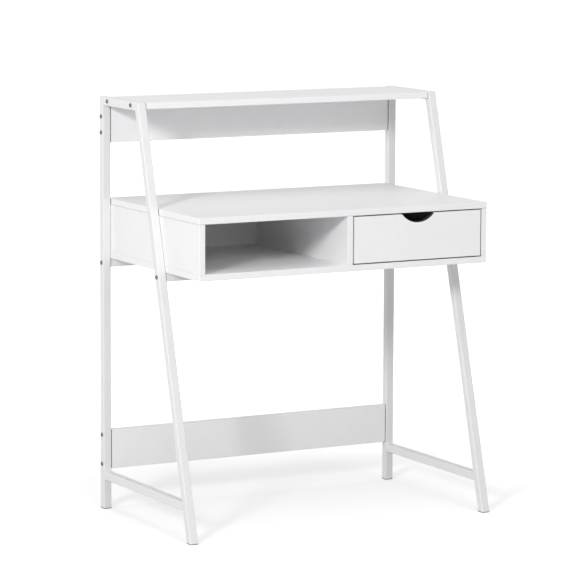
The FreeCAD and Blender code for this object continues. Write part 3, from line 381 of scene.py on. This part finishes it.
def lacqueredHardboard():
    # hardboard, curtain-coated white: a thin film that lets the pressed fibre show as faint flecks
    look = hardboardLook
    material, tree = newMaterial("lacqueredHardboard")
    point = addNode(tree, "ShaderNodeTexCoord").outputs["Object"]
    stretched = addNode(tree, "ShaderNodeMapping", {}, {"Vector": point, "Scale": look["fibreStretch"]})
    fibre = addNode(tree, "ShaderNodeTexNoise", {}, {
        "Vector": stretched, "Scale": 1 / look["fibre"], "Detail": 4, "Roughness": look["fibreRoughness"]})
    fleck = addNode(tree, "ShaderNodeMapRange", {}, {
        "Value": fibre, "From Min": look["fleckSpan"][0], "From Max": look["fleckSpan"][1]})
    colour = addNode(tree, "ShaderNodeMix", {"data_type": "RGBA"},
                     {0: fleck, 6: toLinear(look["lacquer"]), 7: toLinear(look["fleck"])})
    rough = addNode(tree, "ShaderNodeMapRange", {}, {
        "Value": fibre, "To Min": look["roughness"][0], "To Max": look["roughness"][1]})
    addSurface(tree, look, colour.outputs[2], rough, fibre, {"IOR": look["ior"]})
    return material


# coated steel

coatLook = {
    "colour": "#e7e7e8",
    "colourDark": "#e3e3e4",
    "roughness": (0.34, 0.42),
    "cloud": 30 * mm,        # slow change in the film's thickness
    "peel": 1.6 * mm,        # orange peel of sprayed powder
    "relief": 0.03 * mm,
    "reliefStrength": 0.5,
    "ior": 1.5,
}
runnerLook = {
    "colour": "#ededea",
    "colourDark": "#e3e3df",
    "roughness": (0.42, 0.52),
    "cloud": 12 * mm,
    "peel": 0.8 * mm,
    "relief": 0.015 * mm,
    "reliefStrength": 0.5,
    "ior": 1.5,
}


def powderCoat(name, look, gapShaded=False):
    # polyester powder, sprayed on steel and baked: satin white, faintly clouded, with fine orange peel
    material, tree = newMaterial(name)
    point = addNode(tree, "ShaderNodeTexCoord").outputs["Object"]
    cloud = addNode(tree, "ShaderNodeTexNoise", {}, {
        "Vector": point, "Scale": 1 / look["cloud"], "Detail": 3})
    colour = addNode(tree, "ShaderNodeMix", {"data_type": "RGBA"},
                     {0: cloud, 6: toLinear(look["colourDark"]), 7: toLinear(look["colour"])}).outputs[2]
    if gapShaded:
        # painted shade darkens the coat in narrow gaps
        colour = paintGapShade(tree, colour)
    rough = addNode(tree, "ShaderNodeMapRange", {}, {
        "Value": cloud, **noiseSpan, "To Min": look["roughness"][0], "To Max": look["roughness"][1]})
    peel = addNode(tree, "ShaderNodeTexNoise", {}, {
        "Vector": point, "Scale": 1 / look["peel"], "Detail": 1.5})
    addSurface(tree, look, colour, rough, peel, {"IOR": look["ior"]})
    return material


# plastic and wood

plugLook = {
    "colour": "#ebebeb",
    "colourDark": "#e4e4e4",
    "roughness": (0.42, 0.55),
    "texture": 0.7 * mm,     # spark-eroded mould, drawn coarser than its 0.1 mm
    "relief": 0.03 * mm,
    "reliefStrength": 0.6,
    "ior": 1.49,
    "scatter": 0.08,
    "scatterRadius": 1.5 * mm,
    "contactShade": "#6f6f6d",       # painted contact shadow: the plug is darker where it stands
    "contactShadeHeight": 2.0 * mm,
}
nylonLook = {
    "colour": "#ebe9e2",
    "colourDark": "#e2dfd6",
    "roughness": (0.3, 0.42),
    "texture": 2.0 * mm,     # slow waves of the moulded skin
    "relief": 0.02 * mm,
    "reliefStrength": 0.6,
    "ior": 1.49,
    "scatter": 0.3,
    "scatterRadius": 2.5 * mm,
    "contactShade": None,
}


def mouldedPlastic(name, look):
    # injection-moulded plastic, white polypropylene for the tube ends and natural nylon for the
    # rollers: light goes a little way in, so its edges look soft, and the mould's grain dulls it
    material, tree = newMaterial(name)
    point = addNode(tree, "ShaderNodeTexCoord").outputs["Object"]
    skin = addNode(tree, "ShaderNodeTexNoise", {}, {
        "Vector": point, "Scale": 1 / look["texture"], "Detail": 2})
    colour = addNode(tree, "ShaderNodeMix", {"data_type": "RGBA"},
                     {0: skin, 6: toLinear(look["colourDark"]), 7: toLinear(look["colour"])})
    if look["contactShade"]:
        # painted shade: the lowest part of the plug is dark grey, for the contact shadow where it stands
        height = addNode(tree, "ShaderNodeSeparateXYZ", {}, {0: point}).outputs["Z"]
        inContactShade = addNode(tree, "ShaderNodeMath", {"operation": "LESS_THAN"},
                         {0: height, 1: look["contactShadeHeight"]})
        colour = addNode(tree, "ShaderNodeMix", {"data_type": "RGBA"},
                         {0: inContactShade, 6: colour.outputs[2], 7: toLinear(look["contactShade"])})
    rough = addNode(tree, "ShaderNodeMapRange", {}, {
        "Value": skin, "To Min": look["roughness"][0], "To Max": look["roughness"][1]})
    addSurface(tree, look, colour.outputs[2], rough, skin, {
        "IOR": look["ior"], "Subsurface Weight": look["scatter"], "Subsurface Scale": look["scatterRadius"]})
    return material


beechLook = {
    "light": "#d9b78b",
    "dark": "#b98f60",
    "ring": 1.6 * mm,        # growth rings across an 8 mm dowel
    "wavePeriod": 0.3,       # about what one wave measures, in metres, where the texture's scale is 1
    "waver": 4,              # how far the rings wander
    "ray": 0.5 * mm,
    "roughness": 0.62,
    "relief": 0.05 * mm,
    "reliefStrength": 0.5,
    "ior": 1.5,
}


def beechDowel():
    # steamed beech, turned and fluted: pinkish tan with fine rings and short dark rays, unsealed and matt
    look = beechLook
    material, tree = newMaterial("beechDowel")
    point = addNode(tree, "ShaderNodeTexCoord").outputs["Object"]
    rings = addNode(tree, "ShaderNodeTexWave", {"wave_type": "BANDS", "bands_direction": "DIAGONAL"}, {
        "Vector": point, "Scale": look["wavePeriod"] / look["ring"],
        "Distortion": look["waver"], "Detail": 2}).outputs["Fac"]
    colour = addNode(tree, "ShaderNodeMix", {"data_type": "RGBA"},
                     {0: rings, 6: toLinear(look["light"]), 7: toLinear(look["dark"])})
    rays = addNode(tree, "ShaderNodeTexNoise", {}, {"Vector": point, "Scale": 1 / look["ray"], "Detail": 2})
    addSurface(tree, look, colour.outputs[2], look["roughness"], rays, {"IOR": look["ior"]})
    return material


# bare metal

boltLook = {
    "colour": "#7d7f80",
    "colourDark": "#606263",
    "roughness": (0.32, 0.46),
    "cloud": 2.5 * mm,       # patches in the passivated zinc
    "grain": 0.4 * mm,
    "relief": 0.01 * mm,
    "reliefStrength": 0.5,
}
insertLook = {
    "colour": "#c2c3c2",
    "colourDark": "#a9abab",
    "roughness": (0.25, 0.38),
    "cloud": 3.0 * mm,
    "grain": 0.4 * mm,
    "relief": 0.01 * mm,
    "reliefStrength": 0.5,
}
castLook = {
    "colour": "#a7a8a8",
    "colourDark": "#8b8d8e",
    "roughness": (0.42, 0.6),
    "cloud": 4.0 * mm,
    "grain": 0.7 * mm,       # skin of the casting, drawn coarser than its 0.2 mm
    "relief": 0.04 * mm,
    "reliefStrength": 0.5,
}


def zincMetal(name, look):
    # steel plated with zinc and passivated, or zinc cast in a die: grey metal, satin, slightly patchy
    material, tree = newMaterial(name)
    point = addNode(tree, "ShaderNodeTexCoord").outputs["Object"]
    cloud = addNode(tree, "ShaderNodeTexNoise", {}, {
        "Vector": point, "Scale": 1 / look["cloud"], "Detail": 3})
    colour = addNode(tree, "ShaderNodeMix", {"data_type": "RGBA"},
                     {0: cloud, 6: toLinear(look["colourDark"]), 7: toLinear(look["colour"])})
    rough = addNode(tree, "ShaderNodeMapRange", {}, {
        "Value": cloud, **noiseSpan, "To Min": look["roughness"][0], "To Max": look["roughness"][1]})
    grain = addNode(tree, "ShaderNodeTexNoise", {}, {
        "Vector": point, "Scale": 1 / look["grain"], "Detail": 2})
    addSurface(tree, look, colour.outputs[2], rough, grain, {"Metallic": 1.0})
    return material


finishes = {
    "frame_paint": powderCoat("powderCoatedTube", coatLook),
    "runner_steel": powderCoat("coatedRunnerSteel", runnerLook),
    "hardboard": lacqueredHardboard(),
    "white_plastic": mouldedPlastic("mouldedPolypropylene", plugLook),
    "roller_nylon": mouldedPlastic("naturalNylon", nylonLook),
    "dowel_wood": beechDowel(),
    "bolt_steel": zincMetal("zincPlatedBolt", boltLook),
    "insert_steel": zincMetal("brightZincPlate", insertLook),
    "cam_zinc": zincMetal("dieCastZinc", castLook),
}
# the cross rails' coat carries painted shade in the narrow gap under the box
crossRailShadedCoat = powderCoat("powderCoatedCrossRailGapShade", coatLook, gapShaded=True)


def dressNodes():
    # each board has a material of its own, because its edge band follows its outline
    for row in frame["record"]["subparts"]:
        name = row["node"]
        finish = finishes.get(row["material_slot"])
        if finish is None:
            finish = melamineBoard(name)
        # the cross rails take the coat with painted gap shade
        elif name in gapShadeLook["nodes"]:
            finish = crossRailShadedCoat
        nodes[name].data.materials.clear()
        nodes[name].data.materials.append(finish)


dressNodes()
print("finishes ready")


# bolts, screws and cams

fixingShape = {
    "headSides": 24,
    "shankSides": 12,
    "barWidth": 0.42,        # of a crossed recess, to its length
    "crease": 38,            # degrees, sharper edges stay sharp
    "merge": 0.001 * mm,     # points of a CAD mesh that are one
    "level": 0.01 * mm,      # points that lie on the same end
}
# Lengths in mm. Axis 0 is X and 2 is Z. A fixing is turned at random by up to a circle divided by turns.
# The dome's rings are given by their share of the height above the rim and by how far they draw in.
# A recess with 0 sides is crossed.
fixings = {
    "frameBolts": {          # M6 button heads with a hexagon socket
        "nodes": ["shelf_bolts", "upper_panel_bolts", "lower_panel_bolts", "cross_rail_bolts"],
        "body": "desk", "slot": "bolt_steel", "axis": 0, "turns": 6,
        "head": 5.2, "height": 2.6, "rim": 0.7, "dome": [(0.45, 0.93), (0.35, 0.88), (0.2, 0.82)],
        "recess": 2.3, "recessSides": 6, "recessDepth": 1.5, "shank": 3.0},
    "railScrews": {          # pan heads with a cross recess, from below through the cross rails
        "nodes": ["cross_rail_screws"],
        "body": "desk", "slot": "bolt_steel", "axis": 2, "turns": 4,
        "head": 4.0, "height": 2.2, "rim": 1.0, "dome": [(0.6, 0.9), (0.4, 0.8)],
        "recess": 2.2, "recessSides": 0, "recessDepth": 1.4, "shank": 2.0},
    "boxScrews": {           # flat heads, flush with the underside of the box
        "nodes": ["box_screws"],
        "body": "desk", "slot": "bolt_steel", "axis": 2, "turns": 4,
        "head": 5.0, "height": 1.8, "rim": 1.6, "dome": [(1.0, 0.94)],
        "recess": 2.8, "recessSides": 0, "recessDepth": 1.4, "shank": 2.5},
    "runnerScrews": {        # low pan heads in the channel of the cabinet runners
        "nodes": ["cabinet_runner_screws"],
        "body": "desk", "slot": "insert_steel", "axis": 0, "turns": 4,
        "head": 3.4, "height": 0.6, "rim": 0.25, "dome": [(1.0, 0.82)],
        "recess": 1.7, "recessSides": 0, "recessDepth": 0.45, "shank": 1.6},
    "drawerSideScrews": {    # countersunk, through the drawer's sides into its back
        "nodes": ["drawer_back_screws"],
        "body": "drawer", "slot": "insert_steel", "axis": 0, "turns": 4,
        "head": 3.0, "height": 1.6, "rim": 1.45, "dome": [(1.0, 0.94)],
        "recess": 1.7, "recessSides": 0, "recessDepth": 1.1, "shank": 1.7},
    "drawerBottomScrews": {
        "nodes": ["drawer_bottom_screws"],
        "body": "drawer", "slot": "insert_steel", "axis": 2, "turns": 4,
        "head": 2.8, "height": 1.0, "rim": 0.4, "dome": [(0.6, 0.88), (0.4, 0.8)],
        "recess": 1.5, "recessSides": 0, "recessDepth": 0.7, "shank": 1.4},
    "lipScrews": {           # up through the lips of the drawer runners
        "nodes": ["drawer_runner_screws"],
        "body": "drawer", "slot": "insert_steel", "axis": 2, "turns": 4,
        "head": 3.0, "height": 1.4, "rim": 0.5, "dome": [(0.6, 0.88), (0.4, 0.8)],
        "recess": 1.6, "recessSides": 0, "recessDepth": 0.9, "shank": 1.4},
    "boxCams": {             # let into the uprights, with a cross slot for the screwdriver
        "nodes": ["box_cams"],
        "body": "desk", "slot": "cam_zinc", "axis": 0, "turns": 1, "towards": "drawer_front",
        "head": 7.4, "height": 1.6, "rim": 1.1, "dome": [(1.0, 0.93)],
        "recess": 4.6, "recessSides": 0, "recessDepth": 1.3, "shank": 7.1},
    "drawerCams": {
        "nodes": ["drawer_cams"],
        "body": "drawer", "slot": "cam_zinc", "axis": 0, "turns": 1, "towards": "drawer_front",
        "head": 5.9, "height": 1.4, "rim": 1.0, "dome": [(1.0, 0.93)],
        "recess": 3.6, "recessSides": 0, "recessDepth": 1.1, "shank": 5.6},
}


def fixingTree(name, dome, sides):
    # points with the attributes aim and reach in, one head and shank on each point out
    tree = bpy.data.node_groups.new(name, "GeometryNodeTree")
    tree.interface.new_socket("Points", in_out="INPUT", socket_type="NodeSocketGeometry")
    for label in ("Head", "Height", "Rim", "Recess", "Recess Depth", "Shank"):
        tree.interface.new_socket(label, in_out="INPUT", socket_type="NodeSocketFloat")
    tree.interface.new_socket("Turns", in_out="INPUT", socket_type="NodeSocketFloat")
    tree.interface.new_socket("Seed", in_out="INPUT", socket_type="NodeSocketInt")
    tree.interface.new_socket("Finish", in_out="INPUT", socket_type="NodeSocketMaterial")
    tree.interface.new_socket("Fixings", in_out="OUTPUT", socket_type="NodeSocketGeometry")
    given = addNode(tree, "NodeGroupInput").outputs

    # head: a short cylinder, then rings that rise and draw in
    half = addNode(tree, "ShaderNodeMath", {"operation": "MULTIPLY"}, {0: given["Rim"], 1: 0.5})
    rise = addNode(tree, "ShaderNodeCombineXYZ", {}, {"Z": half})
    rim = addNode(tree, "GeometryNodeMeshCylinder", {}, {
        "Vertices": fixingShape["headSides"], "Radius": given["Head"], "Depth": given["Rim"]})
    head = addNode(tree, "GeometryNodeTransform", {}, {
        "Geometry": rim.outputs["Mesh"], "Translation": rise})
    top = rim.outputs["Top"]
    crown = addNode(tree, "ShaderNodeMath", {"operation": "SUBTRACT"},
                    {0: given["Height"], 1: given["Rim"]})
    for share, width in dome:
        lift = addNode(tree, "ShaderNodeMath", {"operation": "MULTIPLY"}, {0: crown, 1: share})
        ring = addNode(tree, "GeometryNodeExtrudeMesh", {"mode": "FACES"}, {
            "Mesh": head, "Selection": top, "Offset": (0, 0, 1), "Offset Scale": lift, "Individual": False})
        top = ring.outputs["Top"]
        head = addNode(tree, "GeometryNodeScaleElements", {"domain": "FACE"}, {
            "Geometry": ring.outputs["Mesh"], "Selection": top, "Scale": width})

    # recess: a hexagon, or two bars crossed
    double = addNode(tree, "ShaderNodeMath", {"operation": "MULTIPLY"}, {0: given["Recess Depth"], 1: 2})
    if sides:
        cutters = [addNode(tree, "GeometryNodeMeshCylinder", {}, {
            "Vertices": sides, "Radius": given["Recess"], "Depth": double})]
    else:
        long = addNode(tree, "ShaderNodeMath", {"operation": "MULTIPLY"}, {0: given["Recess"], 1: 2})
        thin = addNode(tree, "ShaderNodeMath", {"operation": "MULTIPLY"},
                       {0: given["Recess"], 1: fixingShape["barWidth"]})
        sizes = [addNode(tree, "ShaderNodeCombineXYZ", {}, {"X": x, "Y": y, "Z": double})
                 for x, y in ((long, thin), (thin, long))]
        cutters = [addNode(tree, "GeometryNodeMeshCube", {}, {"Size": size}) for size in sizes]
    crest = addNode(tree, "ShaderNodeCombineXYZ", {}, {"Z": given["Height"]})
    for cutter in cutters:
        placed = addNode(tree, "GeometryNodeTransform", {}, {"Geometry": cutter, "Translation": crest})
        head = addNode(tree, "GeometryNodeMeshBoolean", {"operation": "DIFFERENCE"}, {
            "Mesh 1": head, "Mesh 2": placed})

    # shank: one unit long below the head, stretched to its reach
    shank = addNode(tree, "GeometryNodeMeshCylinder", {}, {
        "Vertices": fixingShape["shankSides"], "Radius": given["Shank"], "Depth": 1})
    hung = addNode(tree, "GeometryNodeTransform", {}, {"Geometry": shank, "Translation": (0, 0, -0.5)})

    # each fixing points the way it was driven, and stops at a turn of its own
    aim = addNode(tree, "GeometryNodeInputNamedAttribute", {"data_type": "FLOAT_VECTOR"}, {"Name": "aim"})
    reach = addNode(tree, "GeometryNodeInputNamedAttribute", {"data_type": "FLOAT"}, {"Name": "reach"})
    full = addNode(tree, "ShaderNodeMath", {"operation": "DIVIDE"}, {0: 2 * math.pi, 1: given["Turns"]})
    spin = addNode(tree, "FunctionNodeRandomValue", {"data_type": "FLOAT"}, {
        2: 0.0, 3: full, "Seed": given["Seed"]}).outputs[1]
    roll = addNode(tree, "FunctionNodeAxisAngleToRotation", {}, {"Axis": (0, 0, 1), "Angle": spin})
    stand = addNode(tree, "FunctionNodeAlignRotationToVector", {"axis": "Z"}, {"Vector": aim})
    turned = addNode(tree, "FunctionNodeRotateRotation", {"rotation_space": "LOCAL"}, {0: stand, 1: roll})
    heads = addNode(tree, "GeometryNodeInstanceOnPoints", {}, {
        "Points": given["Points"], "Instance": head, "Rotation": turned})
    stretch = addNode(tree, "ShaderNodeCombineXYZ", {}, {"X": 1, "Y": 1, "Z": reach})
    shanks = addNode(tree, "GeometryNodeInstanceOnPoints", {}, {
        "Points": given["Points"], "Instance": hung, "Rotation": turned, "Scale": stretch})
    both = addNode(tree, "GeometryNodeJoinGeometry", {}, {0: heads})
    tree.links.new(shanks.outputs[0], both.inputs[0])
    real = addNode(tree, "GeometryNodeRealizeInstances", {}, {0: both})
    finished = addNode(tree, "GeometryNodeSetMaterial", {}, {"Geometry": real, "Material": given["Finish"]})
    addNode(tree, "NodeGroupOutput", {}, {0: finished})
    return tree


def solidsOf(name):
    # corner points of each separate solid of a CAD node, read from a merged copy of its mesh
    copy = bmesh.new()
    copy.from_mesh(nodes[name].data)
    bmesh.ops.remove_doubles(copy, verts=copy.verts, dist=fixingShape["merge"])
    left = set(copy.verts)
    solids = []
    while left:
        grown = [left.pop()]
        for vert in grown:
            for edge in vert.link_edges:
                other = edge.other_vert(vert)
                if other in left:
                    left.remove(other)
                    grown.append(other)
        solids.append([vert.co.copy() for vert in grown])
    copy.free()
    return solids


def placesOf(name, axis, towards):
    # where each fixing's head ends, which way it faces, and its length; the wider end is the head,
    # or on a cam the end nearer to the named node
    places = []
    for points in solidsOf(name):
        low = [min(p[i] for p in points) for i in range(3)]
        high = [max(p[i] for p in points) for i in range(3)]
        centre = Vector((low[i] + high[i]) / 2 for i in range(3))
        widths = []
        for end in (low[axis], high[axis]):
            ring = [p for p in points if abs(p[axis] - end) < fixingShape["level"]]
            widths.append(max(math.dist([c for i, c in enumerate(p) if i != axis],
                                        [c for i, c in enumerate(centre) if i != axis]) for p in ring))
        way = 1 if widths[1] > widths[0] else -1
        if towards:
            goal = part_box(towards)
            way = 1 if goal[0][axis] + goal[1][axis] > 2 * centre[axis] else -1
        aim = Vector((0, 0, 0))
        aim[axis] = way
        tip = centre.copy()
        tip[axis] = high[axis] if way > 0 else low[axis]
        places.append((tip, aim, high[axis] - low[axis]))
    return sorted(places, key=lambda place: tuple(place[0]))


def meshFromTree(name, points, tree, inputs):
    # runs a geometry tree on a start mesh and keeps the result as a plain mesh
    start = newObject(name + ".start", points)
    modifier = start.modifiers.new("make", "NODES")
    modifier.node_group = tree
    for item in tree.interface.items_tree:
        if item.in_out == "INPUT" and item.name in inputs:
            modifier[item.identifier] = inputs[item.name]
    evaluated = start.evaluated_get(bpy.context.evaluated_depsgraph_get())
    mesh = bpy.data.meshes.new_from_object(evaluated)
    mesh.name = name
    mesh.shade_smooth()
    mesh.set_sharp_from_angle(angle=math.radians(fixingShape["crease"]))
    start.modifiers.remove(modifier)
    bpy.data.objects.remove(start)
    return mesh


def addFixings(name, look, seed):
    places = []
    for node in look["nodes"]:
        places += placesOf(node, look["axis"], look.get("towards"))
    height = look["height"] * mm
    points = bpy.data.meshes.new(name + ".points")
    points.from_pydata([tip - aim * height for tip, aim, length in places], [], [])
    points.attributes.new("aim", "FLOAT_VECTOR", "POINT")
    points.attributes.new("reach", "FLOAT", "POINT")
    for i, (tip, aim, length) in enumerate(places):
        points.attributes["aim"].data[i].vector = aim
        points.attributes["reach"].data[i].value = length - height
    tree = fixingTree(name + "Tree", look["dome"], look["recessSides"])
    mesh = meshFromTree(name, points, tree, {
        "Head": look["head"] * mm, "Height": height, "Rim": look["rim"] * mm,
        "Recess": look["recess"] * mm, "Recess Depth": look["recessDepth"] * mm,
        "Shank": look["shank"] * mm, "Turns": float(look["turns"]), "Seed": seed,
        "Finish": finishes[look["slot"]]})
    piece = newObject(name, mesh)
    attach(piece, look["body"])
    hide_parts(*look["nodes"])
    print(name, len(places), "fixings,", len(mesh.polygons), "faces")


for seed, (name, look) in enumerate(fixings.items()):
    addFixings(name, look, seed)
print("fixings ready")


# welds in the corners of the side frames

weldBeads = {
    "corners": {             # rail, and which of its faces have a bead at both ends
        "left_foot_rail": ("under", "over"), "right_foot_rail": ("under", "over"),
        "left_top_rail": ("under",), "right_top_rail": ("under",)},
    "radius": 1.7 * mm,
    "step": 1.1 * mm,        # from one ripple to the next
    "margin": 2.6 * mm,      # from the tube's side to the first ripple
    "flatness": 0.8,
    "segments": 8,
    "rings": 5,
    "lean": (0.2, 0.25, 0.3),    # radians either way, about each axis
    "swell": (0.86, 1.1),    # smallest and largest ripple
    "level": 0.05 * mm,      # corners of the rail that lie on the same face
    "seed": 21,
}


def weldTree(look):
    # points in, a row of overlapping ripples along X from each point out
    tree = bpy.data.node_groups.new("weldTree", "GeometryNodeTree")
    tree.interface.new_socket("Points", in_out="INPUT", socket_type="NodeSocketGeometry")
    for label in ("Radius", "Step", "Flatness"):
        tree.interface.new_socket(label, in_out="INPUT", socket_type="NodeSocketFloat")
    for label in ("Ripples", "Seed"):
        tree.interface.new_socket(label, in_out="INPUT", socket_type="NodeSocketInt")
    tree.interface.new_socket("Finish", in_out="INPUT", socket_type="NodeSocketMaterial")
    tree.interface.new_socket("Beads", in_out="OUTPUT", socket_type="NodeSocketGeometry")
    given = addNode(tree, "NodeGroupInput").outputs
    stride = addNode(tree, "ShaderNodeCombineXYZ", {}, {"X": given["Step"]})
    row = addNode(tree, "GeometryNodeMeshLine", {}, {"Count": given["Ripples"], "Offset": stride})
    rows = addNode(tree, "GeometryNodeInstanceOnPoints", {}, {"Points": given["Points"], "Instance": row})
    spots = addNode(tree, "GeometryNodeRealizeInstances", {}, {0: rows})
    ripple = addNode(tree, "GeometryNodeMeshUVSphere", {}, {
        "Segments": look["segments"], "Rings": look["rings"], "Radius": given["Radius"]})
    lean = addNode(tree, "FunctionNodeRandomValue", {"data_type": "FLOAT_VECTOR"}, {
        0: [-angle for angle in look["lean"]], 1: look["lean"], "Seed": given["Seed"]})
    swell = addNode(tree, "FunctionNodeRandomValue", {"data_type": "FLOAT"}, {
        2: look["swell"][0], 3: look["swell"][1], "Seed": given["Seed"]}).outputs[1]
    thin = addNode(tree, "ShaderNodeMath", {"operation": "MULTIPLY"}, {0: swell, 1: given["Flatness"]})
    shape = addNode(tree, "ShaderNodeCombineXYZ", {}, {"X": thin, "Y": swell, "Z": swell})
    ripples = addNode(tree, "GeometryNodeInstanceOnPoints", {}, {
        "Points": spots, "Instance": ripple.outputs["Mesh"], "Rotation": lean, "Scale": shape})
    real = addNode(tree, "GeometryNodeRealizeInstances", {}, {0: ripples})
    finished = addNode(tree, "GeometryNodeSetMaterial", {}, {"Geometry": real, "Material": given["Finish"]})
    addNode(tree, "NodeGroupOutput", {}, {0: finished})
    return tree


def addWelds():
    look = weldBeads
    starts = []
    for rail, faces in look["corners"].items():
        low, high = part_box(rail)
        corners = [vert.co for vert in nodes[rail].data.vertices]
        for face in faces:
            level = low[2] if face == "under" else high[2]
            ends = [c.y for c in corners if abs(c.z - level) < look["level"]]
            starts += [(low[0] + look["margin"], y, level) for y in (min(ends), max(ends))]
    run = high[0] - low[0] - 2 * look["margin"]
    points = bpy.data.meshes.new("weldStarts")
    points.from_pydata(starts, [], [])
    mesh = meshFromTree("frameWelds", points, weldTree(look), {
        "Radius": look["radius"], "Step": look["step"], "Flatness": look["flatness"],
        "Ripples": round(run / look["step"]) + 1, "Seed": look["seed"],
        "Finish": finishes["frame_paint"]})
    piece = newObject("frameWelds", mesh)
    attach(piece, "desk")
    print("frameWelds", len(starts), "beads,", len(mesh.polygons), "faces")


addWelds()
